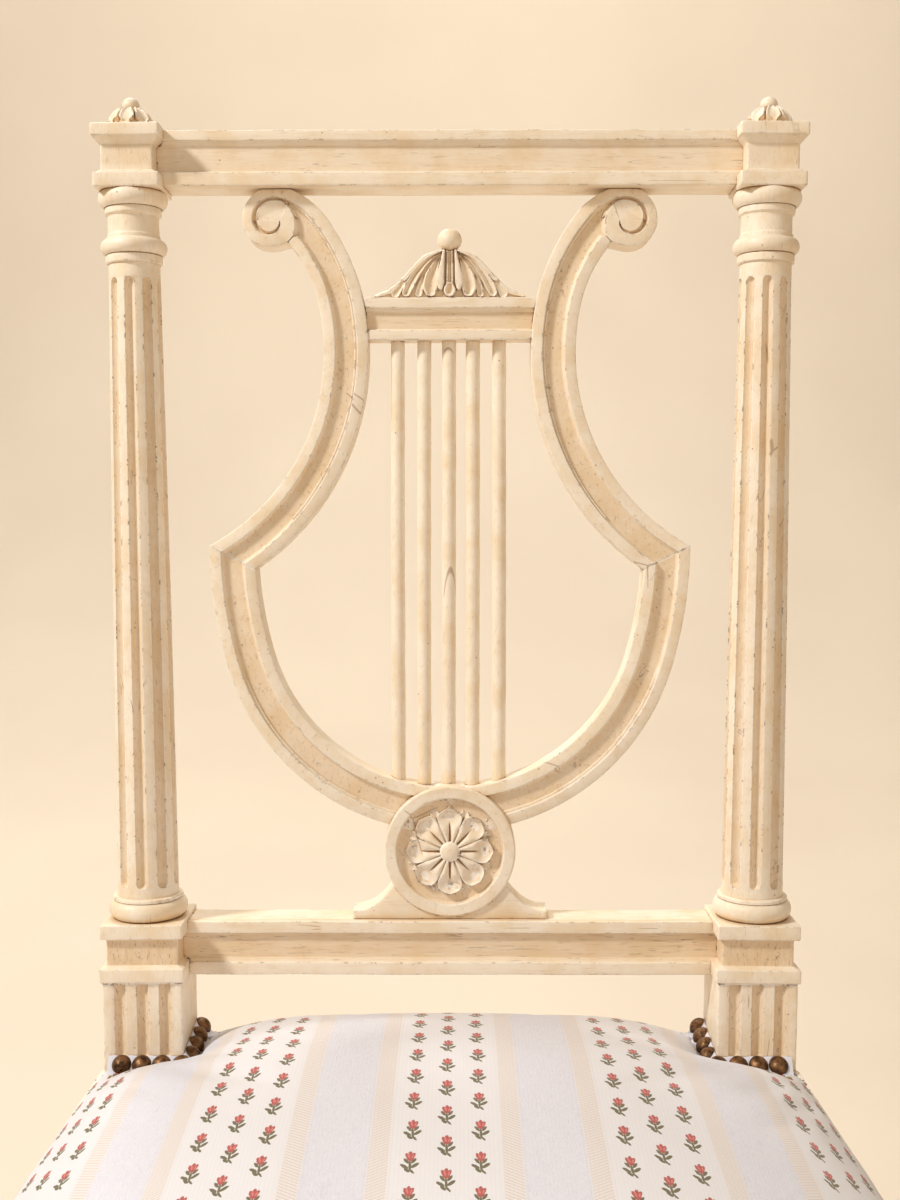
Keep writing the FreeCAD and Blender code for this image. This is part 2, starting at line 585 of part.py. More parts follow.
def back_rail(name, low, die_width, panel_from_end):
    """A rail drawn from the front as a trapezium that follows the posts' splay, with tenons."""
    body = doc.addObject("PartDesign::Body", name)
    front = -S.back_rail_front
    top = low + S.back_rail_height
    shoulder = S.post_spacing / 2 - die_width / 2 / math.cos(splay) - S.joint_clearance / 2
    low_half = shoulder + low * math.tan(splay)
    top_half = shoulder + top * math.tan(splay)
    face = new_sketch(body, f"{name}_face", Vector(0, front, 0), FACING_FRONT)
    outline(face, Vector(-low_half, low), Vector(low_half, low), Vector(top_half, top),
            Vector(-top_half, top))
    extrude(body, "Pad", face, "back_rail_thickness", reverse=True)
    middle = (low + top) / 2
    tenon = new_sketch(body, f"{name}_tenons", Vector(0, 0, middle), FACING_FRONT,
                       y="back_rail_thickness / 2 - back_rail_front")
    rectangle(tenon, f"{low_half + top_half} + 2 * tenon_length", "back_tenon_height")
    extrude(body, "Pad", tenon, "back_tenon_thickness", symmetric=True)
    panel = new_sketch(body, f"{name}_panel", Vector(0, front, middle), FACING_FRONT)
    rectangle(panel, f"{low_half + top_half} - 2 * {panel_from_end}",
              "back_rail_height - 2 * back_rail_border")
    extrude(body, "Pocket", panel, "back_rail_panel_depth")
    for way in (-1, 1):
        peg = new_sketch(body, f"{name}_peg_hole_{way + 2}", rotation=FACING_FRONT,
                         place=Vector(way * peg_x(low, die_width), 2 * S.back_rail_thickness, middle))
        circle(peg, "peg_radius + joint_clearance")
        extrude(body, "Pocket", peg, "4 * back_rail_thickness", reverse=True)
    return body


def peg_x(low, die_width):
    """Middle of a tenon's peg, half a tenon in from the block's inner face."""
    middle = low + S.back_rail_height / 2
    axis = S.post_spacing / 2 + middle * math.sin(splay)
    return axis - die_width / 2 + S.tenon_length / 2


def dowel_hole(body, name, x, y, z, depth, upward):
    """A blind hole for a dowel, bored up or down from a level face."""
    hole = new_sketch(body, name, Vector(x, y, z))
    circle(hole, "dowel_radius + joint_clearance")
    extrude(body, "Pocket", hole, f"{depth} + joint_clearance", reverse=upward)


lyre_mid_y = S.lyre_front + S.lyre_thickness / 2
foot_dowel_x = S.foot_half_width * 0.75
lower_rail_low = -S.lower_rail_top - S.back_rail_height


def crest_rail():
    body = back_rail("crest_rail", S.crest_rail_bottom, S.top_die_width, 0)
    for way in (-1, 1):
        dowel_hole(body, f"scroll_dowel_hole_{way + 2}", way * S.scroll_offset, lyre_mid_y,
                   S.crest_rail_bottom, "dowel_depth", True)
    return keep(body, "crest_rail", back_frame)


def lower_back_rail():
    body = back_rail("lower_back_rail", lower_rail_low, S.lower_die_width, 0)
    for way in (-1, 1):
        dowel_hole(body, f"foot_dowel_hole_{way + 2}", way * foot_dowel_x, lyre_mid_y,
                   -S.lower_rail_top, "dowel_depth", False)
    return keep(body, "lower_back_rail", back_frame)


# Lyre: circles in the plane of the back, for the left side, with z as the second value

def polar_point(centre, radius, degrees):
    turn = math.radians(degrees)
    return centre + Vector(radius * math.cos(turn), radius * math.sin(turn))


def meet(centre_a, radius_a, centre_b, radius_b, left_of_line):
    """One of the two points where circles cross, on the chosen side of the line from a to b."""
    line = centre_b - centre_a
    gap = line.Length
    along = (radius_a ** 2 - radius_b ** 2 + gap ** 2) / (2 * gap)
    across = math.sqrt(max(radius_a ** 2 - along ** 2, 0.0))
    unit = line / gap
    normal = Vector(-unit.y, unit.x)
    return centre_a + unit * along + normal * (across if left_of_line else -across)


def arc_on(centre, radius, start, end):
    """The middle of the shorter arc from start to end on a circle, as an outline step."""
    middle = (start + end) / 2 - centre
    return (centre + middle / middle.Length * radius, end)


arm_low_centre = Vector(-(S.waist_half_width + S.arm_lower_radius), S.waist_height)
arm_high_centre = polar_point(arm_low_centre, S.arm_lower_radius - S.arm_upper_radius, S.arm_blend_angle)
bowl_low_centre = Vector(0, S.bowl_centre_height)
bowl_high_centre = polar_point(bowl_low_centre, S.bowl_upper_radius - S.bowl_lower_radius, S.bowl_blend_angle)
scroll_centre = Vector(-S.scroll_offset, S.scroll_height)


def shoulder(inset):
    """Outer and inner corner where arm and bowl meet, moved into the wood by inset."""
    outer = meet(arm_low_centre, S.arm_lower_radius - S.arm_width / 2 + inset,
                 bowl_high_centre, S.bowl_upper_radius + S.bowl_width / 2 - inset, False)
    inner = meet(arm_low_centre, S.arm_lower_radius + S.arm_width / 2 - inset,
                 bowl_high_centre, S.bowl_upper_radius - S.bowl_width / 2 + inset, False)
    return outer, inner


def arm_steps(inset, top_degrees):
    """The arm's band from the shoulder up to an angle on its upper arc, narrowed by inset."""
    outer, inner = shoulder(inset)
    wide = S.arm_width / 2 - inset
    low_in, high_in = S.arm_lower_radius + wide, S.arm_upper_radius + wide
    low_out, high_out = S.arm_lower_radius - wide, S.arm_upper_radius - wide
    blend_in = polar_point(arm_low_centre, low_in, S.arm_blend_angle)
    blend_out = polar_point(arm_low_centre, low_out, S.arm_blend_angle)
    top_in = polar_point(arm_high_centre, high_in, top_degrees)
    top_out = polar_point(arm_high_centre, high_out, top_degrees)
    return [inner, arc_on(arm_low_centre, low_in, inner, blend_in),
            arc_on(arm_high_centre, high_in, blend_in, top_in), top_out,
            arc_on(arm_high_centre, high_out, top_out, blend_out),
            arc_on(arm_low_centre, low_out, blend_out, outer)]


def bowl_steps(inset):
    """The bowl's band from the shoulder down to the lyre's middle, narrowed by inset."""
    outer, inner = shoulder(inset)
    wide = S.bowl_width / 2 - inset
    blend = 180 + S.bowl_blend_angle
    high_out, low_out = S.bowl_upper_radius + wide, S.bowl_lower_radius + wide
    high_in, low_in = S.bowl_upper_radius - wide, S.bowl_lower_radius - wide
    blend_out = polar_point(bowl_low_centre, low_out, blend)
    blend_in = polar_point(bowl_low_centre, low_in, blend)
    end_out = polar_point(bowl_low_centre, low_out, 270)
    end_in = polar_point(bowl_low_centre, low_in, 270)
    return [outer, arc_on(bowl_high_centre, high_out, outer, blend_out),
            arc_on(bowl_low_centre, low_out, blend_out, end_out), end_in,
            arc_on(bowl_low_centre, low_in, end_in, blend_in),
            arc_on(bowl_high_centre, high_in, blend_in, inner)]


def plate(steps, front, back):
    """A flat solid from an outline in the back's plane, between two depths."""
    ends = [step[1] if isinstance(step, tuple) else step for step in steps]
    edges = []
    for index, step in enumerate(steps):
        start = ends[index - 1]
        if isinstance(step, tuple):
            edges.append(Part.Arc(start, step[0], step[1]).toShape())
        elif (step - start).Length > 1e-6:
            edges.append(Part.LineSegment(start, step).toShape())
    face = Part.Face(Part.Wire(edges))
    face.Placement = Placement(Vector(0, front, 0), FACING_FRONT)
    return face.extrude(Vector(0, back - front, 0))


def disc(centre, radius, front, back):
    """A flat round solid facing the front, at a centre in the back's plane."""
    return Part.makeCylinder(radius, back - front, Vector(centre.x, front, centre.y), Vector(0, 1, 0))


def spiral_groove():
    """A groove that winds from the arm's channel into the scroll with a shrinking radius."""
    steps = 20
    rings = {}
    for edge in (-1, 1):
        points = []
        for step in range(steps + 1):
            part = step / steps
            radius = S.scroll_groove_start + (S.scroll_groove_end - S.scroll_groove_start) * part
            degrees = 360 - S.scroll_groove_turn + 20 + S.scroll_groove_turn * part
            points.append(polar_point(scroll_centre, radius + edge * S.scroll_groove_width / 2, degrees))
        curve = Part.BSplineCurve()
        curve.interpolate(points)
        rings[edge] = (curve.toShape(), points)
    ends = [Part.LineSegment(rings[-1][1][index], rings[1][1][index]).toShape() for index in (0, -1)]
    face = Part.Face(Part.Wire(Part.__sortEdges__([rings[-1][0], rings[1][0]] + ends)))
    face.Placement = Placement(Vector(0, S.lyre_front - 1, 0), FACING_FRONT)
    return face.extrude(Vector(0, S.channel_depth * 0.8 + 1, 0))


def lyre_arm_shape():
    """The left arm with its scroll, channel, spiral groove, mortise and dowel hole."""
    front, back = S.lyre_front, S.lyre_front + S.lyre_thickness
    wide = S.arm_upper_radius + S.arm_width / 2
    blend_radius = S.scroll_blend_radius
    ease_centre = meet(arm_high_centre, wide - blend_radius, scroll_centre,
                       blend_radius - S.scroll_radius, False)
    leave = arm_high_centre + (ease_centre - arm_high_centre).normalize() * wide
    arrive = ease_centre + (scroll_centre - ease_centre).normalize() * blend_radius
    leave_angle = math.degrees(math.atan2(leave.y - arm_high_centre.y, leave.x - arm_high_centre.x))
    band = plate(arm_steps(0, leave_angle), front, back)
    ease = plate([leave, arc_on(ease_centre, blend_radius, leave, arrive), scroll_centre,
                  polar_point(arm_high_centre, S.arm_upper_radius, leave_angle)], front, back)
    scroll = disc(scroll_centre, S.scroll_radius, front, back)
    shape = band.fuse([ease, scroll]).removeSplitter()
    notch = plate(arm_steps(S.lyre_border, leave_angle + 4), front - 1, front + S.channel_depth)
    keep_scroll = disc(scroll_centre, S.scroll_radius - 1.0, front - 1, back)
    above = Part.makeBox(200, 100, 100, Vector(-200, -50, S.crest_rail_bottom - 0.02))
    mortise_z = S.yoke_bottom + S.yoke_height / 2
    play = S.joint_clearance
    mortise_y = S.lyre_front + S.yoke_setback + yoke_thickness() / 2
    depth = S.yoke_tenon_length + S.mortise_end_gap
    mortise = Part.makeBox(depth + 20, S.yoke_tenon_thickness + 2 * play, S.yoke_tenon_height + 2 * play,
                           Vector(-yoke_reach() - depth, mortise_y - S.yoke_tenon_thickness / 2 - play,
                                  mortise_z - S.yoke_tenon_height / 2 - play))
    hole = Part.makeCylinder(S.dowel_radius + play, S.dowel_depth + play,
                             Vector(-S.scroll_offset, lyre_mid_y, S.crest_rail_bottom), Vector(0, 0, -1))
    return shape.cut([notch.cut(keep_scroll), spiral_groove(), above, mortise, hole])


def bowl_dowel_ends(way, grow=0.0):
    """Start and end of the dowel that joins a bowl to the medallion's edge."""
    centre = Vector(0, S.medallion_height)
    seat = meet(bowl_low_centre, S.bowl_lower_radius, centre, S.medallion_radius, False)
    out = (seat - centre).normalize()
    start, end = seat - out * (S.dowel_depth + grow), seat + out * (S.dowel_depth + grow)
    return [Vector(-way * point.x, lyre_mid_y, point.y) for point in (start, end)]


def lyre_bowl_shape():
    """The left bowl with its channel, holes for the strings and the seat of the medallion."""
    front, back = S.lyre_front, S.lyre_front + S.lyre_thickness
    shape = plate(bowl_steps(0), front, back)
    channel = plate(bowl_steps(S.lyre_border), front - 1, front + S.channel_depth)
    seat = disc(Vector(0, S.medallion_height), S.medallion_radius + S.joint_clearance, front - 1, back + 1)
    cutters = [channel, seat, cylinder_between(*bowl_dowel_ends(-1, S.joint_clearance),
                                               S.dowel_radius + S.joint_clearance)]
    for x in string_places():
        cutters.append(string_cylinder(x, S.string_radius + S.joint_clearance, S.joint_clearance))
    return shape.cut(cutters)


def mirror_sides(name, shape_of_left):
    left = shape_of_left()
    right = left.mirror(Vector(), Vector(1, 0, 0))
    keep(solid_part(f"{name}_left", left), f"{name}_left", back_frame)
    keep(solid_part(f"{name}_right", right), f"{name}_right", back_frame)


# Yoke, strings and crest

def yoke_thickness():
    return S.lyre_thickness - 2 * S.yoke_setback


def yoke_reach():
    """Half the yoke's length at its middle, where it meets the arm's inner edge."""
    radius = S.arm_lower_radius + S.arm_width / 2 + S.joint_clearance
    rise = S.yoke_bottom + S.yoke_height / 2 - S.waist_height
    return -(arm_low_centre.x + math.sqrt(radius ** 2 - rise ** 2))


def yoke_end(z):
    """Half the yoke's length at a height, on the arc of the arm's inner edge."""
    radius = S.arm_lower_radius + S.arm_width / 2 + S.joint_clearance
    return -(arm_low_centre.x + math.sqrt(radius ** 2 - (z - S.waist_height) ** 2))


def string_places():
    count = int(S.string_count)
    return [(index - (count - 1) / 2) * S.string_pitch for index in range(count)]


def string_low(x):
    """Level on which a string stands: the bowl's inner edge, or the medallion's in the middle."""
    inner = S.bowl_lower_radius - S.bowl_width / 2
    bowl = S.bowl_centre_height - math.sqrt(inner ** 2 - x ** 2)
    disc_top = S.medallion_height
    if abs(x) < S.medallion_radius:
        disc_top += math.sqrt(S.medallion_radius ** 2 - x ** 2)
    return max(bowl, disc_top) - S.string_seat


def string_cylinder(x, radius, grow=0.0):
    low = string_low(x) - grow
    length = S.yoke_bottom + S.string_seat + grow - low
    return Part.makeCylinder(radius, length, Vector(x, lyre_mid_y, low))


def lyre_yoke():
    body = doc.addObject("PartDesign::Body", "lyre_yoke")
    low, high = S.yoke_bottom, S.yoke_bottom + S.yoke_height
    middle = (low + high) / 2
    front = S.lyre_front + S.yoke_setback
    face = new_sketch(body, "yoke_face", Vector(0, front, 0), FACING_FRONT)
    outline(face, Vector(-yoke_end(low), low), Vector(yoke_end(low), low),
            (Vector(yoke_end(middle), middle), Vector(yoke_end(high), high)),
            Vector(-yoke_end(high), high), (Vector(-yoke_end(middle), middle), Vector(-yoke_end(low), low)))
    thickness = "lyre_thickness - 2 * yoke_setback"
    extrude(body, "Pad", face, thickness, reverse=True)
    tenon = new_sketch(body, "yoke_tenons", Vector(0, front + yoke_thickness() / 2, middle), FACING_FRONT)
    rectangle(tenon, f"{2 * yoke_reach()} + 2 * yoke_tenon_length", "yoke_tenon_height")
    extrude(body, "Pad", tenon, "yoke_tenon_thickness", symmetric=True)
    panel = new_sketch(body, "yoke_panel", Vector(0, front, middle), FACING_FRONT)
    rectangle(panel, "4 * waist_half_width", "yoke_height - 2 * yoke_border")
    extrude(body, "Pocket", panel, "channel_depth")
    holes = new_sketch(body, "string_holes", Vector(0, lyre_mid_y, low), z="yoke_bottom")
    for x in string_places():
        circle(holes, "string_radius + joint_clearance", x if x else 1e-4)
    extrude(body, "Pocket", holes, "string_seat + joint_clearance", reverse=True)
    dowel_hole(body, "crest_dowel_hole", 0, lyre_mid_y, high, "dowel_depth", False)
    return keep(body, "lyre_yoke", back_frame)


def lyre_string(number, x):
    rod = doc.addObject("Part::Cylinder", f"lyre_string_{number}")
    bind(rod, Radius="string_radius", Height=f"yoke_bottom + string_seat - ({string_low(x)})")
    return keep(rod, f"lyre_string_{number}",
                back_frame * Placement(Vector(x, lyre_mid_y, string_low(x)), FLAT))


def off_chord(start, end, sag):
    """The middle of an arc that leaves its chord to the left by a sag."""
    way = (end - start).normalize()
    return (start + end) / 2 + Vector(-way.y, way.x) * sag


def flipped(point):
    return Vector(-point.x, point.y)


def yoke_crest():
    """A low carved crest: thin ends that rise in a hollow and then a round curve to the ball."""
    body = doc.addObject("PartDesign::Body", "yoke_crest")
    sketch = new_sketch(body, "crest_outline", Vector(0, lyre_mid_y, S.yoke_bottom + S.yoke_height),
                        FACING_FRONT)
    end = Vector(S.crest_half_width, S.crest_edge)
    turn = Vector(S.crest_shoulder_width, S.crest_shoulder_height)
    neck = Vector(S.crest_neck, S.crest_height)
    hollow, swell = off_chord(end, turn, S.crest_sag), off_chord(turn, neck, -S.crest_sag)
    right = [Vector(end.x, 0), end, (hollow, turn), (swell, neck)]
    left = [flipped(neck), (flipped(swell), flipped(turn)), (flipped(hollow), flipped(end)),
            Vector(-end.x, 0)]
    outline(sketch, *right, *left)
    extrude(body, "Pad", sketch, "crest_thickness", symmetric=True)
    peg = new_sketch(body, "crest_peg", Vector(0, lyre_mid_y, S.yoke_bottom + S.yoke_height))
    extrude(body, "Pad", circle(peg, "dowel_radius"), "dowel_depth - joint_clearance", reverse=True)
    return keep(body, "yoke_crest", back_frame)


def yoke_ball():
    ball = doc.addObject("Part::Sphere", "yoke_ball")
    bind(ball, Radius="yoke_ball_radius")
    height = S.yoke_bottom + S.yoke_height + S.crest_height + S.yoke_ball_radius
    return keep(ball, "yoke_ball", back_frame * Placement(Vector(0, lyre_mid_y, height), FLAT))


# Medallion and foot

def medallion():
    body = doc.addObject("PartDesign::Body", "medallion")
    sketch = new_sketch(body, "medallion_outline", rotation=Rotation(Vector(0, 0, 1), 0))
    rim, radius = S.medallion_rim, S.medallion_radius
    front = S.lyre_front - S.medallion_proud
    back = S.lyre_front + S.lyre_thickness
    floor = front + S.medallion_sink
    outline(sketch, Vector(0, floor), Vector(radius - rim, floor), Vector(radius - rim, front + rim / 4),
            (Vector(radius - rim / 2, front), Vector(radius, front + rim / 4)),
            Vector(radius, back), Vector(0, back))
    revolve(body, sketch)
    seat = string_low(0) - S.medallion_height
    holes = new_sketch(body, "medallion_string_hole", Vector(0, lyre_mid_y, seat))
    circle(holes, "string_radius + joint_clearance")
    extrude(body, "Pocket", holes, "2 * string_seat", reverse=True)
    for way in (-1, 1):
        start, end = bowl_dowel_ends(way, S.joint_clearance)
        place = start - Vector(0, 0, S.medallion_height)
        hole = new_sketch(body, f"bowl_dowel_hole_{way + 2}", place,
                          Rotation(Vector(0, 0, 1), end - start))
        circle(hole, "dowel_radius + joint_clearance")
        extrude(body, "Pocket", hole, "2 * dowel_depth", reverse=True)
    return keep(body, "medallion", back_frame * Placement(Vector(0, 0, S.medallion_height), FLAT))


def rosette():
    """A flat flower: a round middle and a ring of round-ended petals."""
    body = doc.addObject("PartDesign::Body", "rosette")
    middle = new_sketch(body, "rosette_middle", rotation=FACING_FRONT)
    extrude(body, "Pad", circle(middle, "rosette_radius - 1.3 * petal_radius"), "rosette_height")
    petal = new_sketch(body, "rosette_petal", rotation=FACING_FRONT)
    reach, end = S.rosette_radius - S.petal_radius, S.petal_radius
    half = end * 0.6
    outline(petal, Vector(half, end), Vector(end, reach),
            (Vector(0, S.rosette_radius), Vector(-end, reach)), Vector(-half, end))
    pad = extrude(body, "Pad", petal, "rosette_height")
    polar(body, pad, "rosette_petals", "Y_Axis")
    floor = S.lyre_front - S.medallion_proud + S.medallion_sink
    return keep(body, "rosette", back_frame * Placement(Vector(0, floor, S.medallion_height), FLAT))


def rosette_button():
    body = doc.addObject("PartDesign::Body", "rosette_button")
    sketch = new_sketch(body, "button_outline")
    radius, height = S.button_radius, S.button_height
    edge = height / 3
    ball = dome_ball(radius, height - edge)
    side = math.sqrt(ball ** 2 - radius ** 2 / 4)
    outline(sketch, Vector(0, 0), Vector(radius, 0), Vector(radius, -edge),
            (Vector(radius / 2, ball - height - side), Vector(0, -height)))
    revolve(body, sketch)
    front = S.lyre_front - S.medallion_proud + S.medallion_sink - S.rosette_height
    return keep(body, "rosette_button", back_frame * Placement(Vector(0, front, S.medallion_height), FLAT))


def lyre_foot():
    body = doc.addObject("PartDesign::Body", "lyre_foot")
    low = -S.lower_rail_top
    wide, end, lip = S.foot_half_width, low + S.foot_end_height, S.foot_lip
    radius = S.medallion_radius + S.joint_clearance
    top_z = low + S.foot_top_height
    top_x = math.sqrt(radius ** 2 - (S.medallion_height - top_z) ** 2)
    hollow = Vector((wide + top_x) / 2 - 2.6, (end + top_z) / 2 - 3.4)
    sketch = new_sketch(body, "foot_outline", Vector(0, S.lyre_front - S.foot_proud, 0), FACING_FRONT)
    outline(sketch, Vector(-wide, low), Vector(wide, low), Vector(wide, end), Vector(wide - lip, end),
            (hollow, Vector(top_x, top_z)), (Vector(0, S.medallion_height - radius), Vector(-top_x, top_z)),
            (Vector(-hollow.x, hollow.y), Vector(lip - wide, end)), Vector(-wide, end))
    extrude(body, "Pad", sketch, "lyre_thickness + foot_proud", reverse=True)
    for way in (-1, 1):
        dowel_hole(body, f"rail_dowel_hole_{way + 2}", way * foot_dowel_x, lyre_mid_y, low,
                   "foot_end_height - 1", True)
    return keep(body, "lyre_foot", back_frame)


def grouped(name, shapes, placement):
    """Separate solids that share one node."""
    return keep(solid_part(name, Part.makeCompound(shapes)), name, placement)


def lyre_dowels():
    depth, radius = S.dowel_depth, S.dowel_radius
    rods = []
    for way in (-1, 1):
        rods.append(Part.makeCylinder(radius, 2 * depth, Vector(way * S.scroll_offset, lyre_mid_y,
                                                                S.crest_rail_bottom - depth)))
        rods.append(cylinder_between(*bowl_dowel_ends(way), radius))
        length = depth + S.foot_end_height - 1
        rods.append(Part.makeCylinder(radius, length, Vector(way * foot_dowel_x, lyre_mid_y,
                                                             -S.lower_rail_top - depth)))
    return grouped("lyre_dowels", rods, back_frame)


def joint_pegs():
    """Pegs bored in from the back of the blocks, through the tenons."""
    pegs = []
    for low, die in ((S.crest_rail_bottom, S.top_die_width), (lower_rail_low, S.lower_die_width)):
        for way in (-1, 1):
            axis = post_frame(way)
            centre = S.back_rail_thickness / 2 - S.back_rail_front
            local = Vector(-way * (die / 2 - S.tenon_length / 2), die / 2, low + S.back_rail_height / 2)
            start = axis.multVec(local)
            tip = centre - S.back_tenon_thickness / 2 - S.mortise_end_gap
            end = axis.multVec(Vector(local.x, tip, local.z))
            pegs.append(cylinder_between(start, end, S.peg_radius))
    return grouped("joint_pegs", pegs, Placement())


# Seat frame

def dome_ball(radius, height):
    """Radius of the ball of which a dome of a given base radius and height is a slice."""
    return (radius ** 2 + height ** 2) / (2 * height)


def dome(radius, height, centre, outward):
    """A domed head whose flat base is centred on a point and faces inward."""
    ball = dome_ball(radius, height)
    low_edge = math.degrees(math.asin((ball - height) / ball))
    head = Part.makeSphere(ball, Vector(), Vector(0, 0, 1), low_edge, 90, 360)
    head.Placement = Placement(centre - outward * (ball - height), Rotation(Vector(0, 0, 1), outward))
    return head


def side_line(y, inset):
    """Distance from the middle to the side rail's outer face at a depth, moved in by inset."""
    rear, front = post_outer_x, S.seat_front_width / 2
    part = -y / S.seat_depth
    return rear + (front - rear) * part - S.seat_rail_inset - inset


side_angle = math.atan2(S.seat_front_width / 2 - post_outer_x, S.seat_depth)


def side_rail_x(y):
    """Middle of the side rail's thickness at a depth."""
    return side_line(y, S.seat_rail_thickness / 2 / math.cos(side_angle))


def back_rail_y():
    """Middle of the back seat rail's thickness."""
    return joint_depth / 2 - S.seat_rail_inset - S.seat_rail_thickness / 2


def front_rail_y():
    """Middle of the front seat rail's thickness."""
    return -S.seat_depth - S.leg_block_width / 2 + S.seat_rail_inset + S.seat_rail_thickness / 2


def front_leg(side):
    way = WAYS[side]
    body = doc.addObject("PartDesign::Body", f"front_leg_{side}")
    block_bottom = S.seat_height - S.leg_block_height
    neck, collar, half = S.leg_neck_radius, S.leg_collar_radius, S.leg_collar_height / 2
    z = block_bottom
    above = z + S.turned_overlap
    steps = [Vector(0, above), Vector(neck, above), Vector(neck, z - S.leg_neck_height)]
    z -= S.leg_neck_height
    steps.append(Vector(collar - half, z))
    steps.append((Vector(collar, z - half), Vector(collar - half, z - 2 * half)))
    z -= S.leg_collar_height
    steps += [Vector(neck, z), Vector(neck, z - S.leg_neck_height)]
    taper_top = z - S.leg_neck_height
    band_top = S.leg_foot_height - S.leg_foot_bevel
    steps += [Vector(S.leg_top_radius, taper_top), Vector(S.leg_ankle_radius, S.leg_foot_height),
              Vector(S.leg_foot_radius, band_top), Vector(S.leg_foot_radius, band_top - S.leg_foot_band),
              (Vector(S.leg_sole_waist, S.leg_foot_height / 2), Vector(S.leg_sole_radius, 0)),
              Vector(0, 0)]
    turned = new_sketch(body, f"leg_outline_{side}", rotation=FACING_FRONT)
    outline(turned, *steps)
    revolve(body, turned)
    block = new_sketch(body, f"block_{side}", z="seat_height - leg_block_height")
    extrude(body, "Pad", rectangle(block, "leg_block_width", "leg_block_width"), "leg_block_height")
    middle = S.seat_height - S.seat_rail_height / 2
    face = S.leg_block_width / 2
    side_mortise = new_sketch(body, f"leg_side_mortise_{side}", rotation=FACING_FRONT, place=Vector(
        way * side_rail_x(-S.seat_depth + face) - way * front_leg_x, face, middle))
    rectangle(side_mortise, "tenon_thickness + 2 * joint_clearance", "tenon_height + 2 * joint_clearance")
    extrude(body, "Pocket", side_mortise, "tenon_length + mortise_end_gap", reverse=True)
    front_mortise = new_sketch(body, f"leg_front_mortise_{side}", rotation=FACING_RIGHT,
                               place=Vector(-way * face, front_rail_y() + S.seat_depth, middle))
    rectangle(front_mortise, "tenon_thickness + 2 * joint_clearance", "tenon_height + 2 * joint_clearance")
    extrude(body, "Pocket", front_mortise, "tenon_length + mortise_end_gap", reverse=way > 0)
    far, rail_face = S.leg_block_width, S.seat_rail_inset - face
    rebate = new_sketch(body, f"rebate_{side}", z="seat_height")
    edge_front, edge_rear = [way * (side_line(y - S.seat_depth, 0) - front_leg_x) for y in (rail_face, far)]
    outline(rebate, Vector(-way * far, -far), Vector(way * far, -far), Vector(way * far, far),
            Vector(edge_rear, far), Vector(edge_front, rail_face), Vector(-way * far, rail_face))
    extrude(body, "Pocket", rebate, "cover_drop + rebate_gap")
    slope = (S.leg_top_radius - S.leg_ankle_radius) / (taper_top - S.leg_foot_height)
    groove = flute_cutter(body, f"leg_flute_{side}", S.leg_foot_height + S.leg_flute_margin,
                          taper_top - S.leg_flute_margin, S.leg_ankle_radius + slope * S.leg_flute_margin,
                          S.leg_top_radius - slope * S.leg_flute_margin, S.leg_flute_radius)
    polar(body, groove, "leg_flute_count")
    return keep(body, f"front_leg_{side}", Placement(Vector(way * front_leg_x, -S.seat_depth, 0), FLAT))


def leg_rosettes():
    """Turned buttons on the front and outer faces of the front blocks."""
    level = (rail_bottom + S.seat_height - S.cover_drop) / 2 - 1
    buttons = []
    for way in (-1, 1):
        for outward in (Vector(0, -1, 0), Vector(way, 0, 0)):
            centre = Vector(way * front_leg_x, -S.seat_depth, level) + outward * (S.leg_block_width / 2)
            buttons.append(dome(S.patera_radius, S.patera_height, centre, outward))
    return grouped("leg_rosettes", buttons, Placement())


def straight_rail(name, half_length, y, facing_back):
    body = doc.addObject("PartDesign::Body", f"{name}_blank")
    middle = S.seat_height - S.seat_rail_height / 2
    block = new_sketch(body, f"{name}_block", Vector(0, y, rail_bottom))
    rectangle(block, f"{2 * half_length}", "seat_rail_thickness")
    extrude(body, "Pad", block, "seat_rail_height")
    tenon = new_sketch(body, f"{name}_tenons", Vector(0, y, middle), FACING_FRONT)
    rectangle(tenon, f"{2 * half_length} + 2 * tenon_length", "tenon_height")
    extrude(body, "Pad", tenon, "tenon_thickness", symmetric=True)
    way = 1 if facing_back else -1
    panel_z = rail_bottom + S.rail_panel_above_bottom + S.rail_panel_height / 2
    panel = new_sketch(body, f"{name}_panel", Vector(0, y + way * S.seat_rail_thickness / 2, panel_z),
                       FACING_FRONT)
    rectangle(panel, f"{2 * half_length} - 2 * rail_panel_end_margin", "rail_panel_height")
    extrude(body, "Pocket", panel, "rail_panel_depth", reverse=facing_back)
    return body


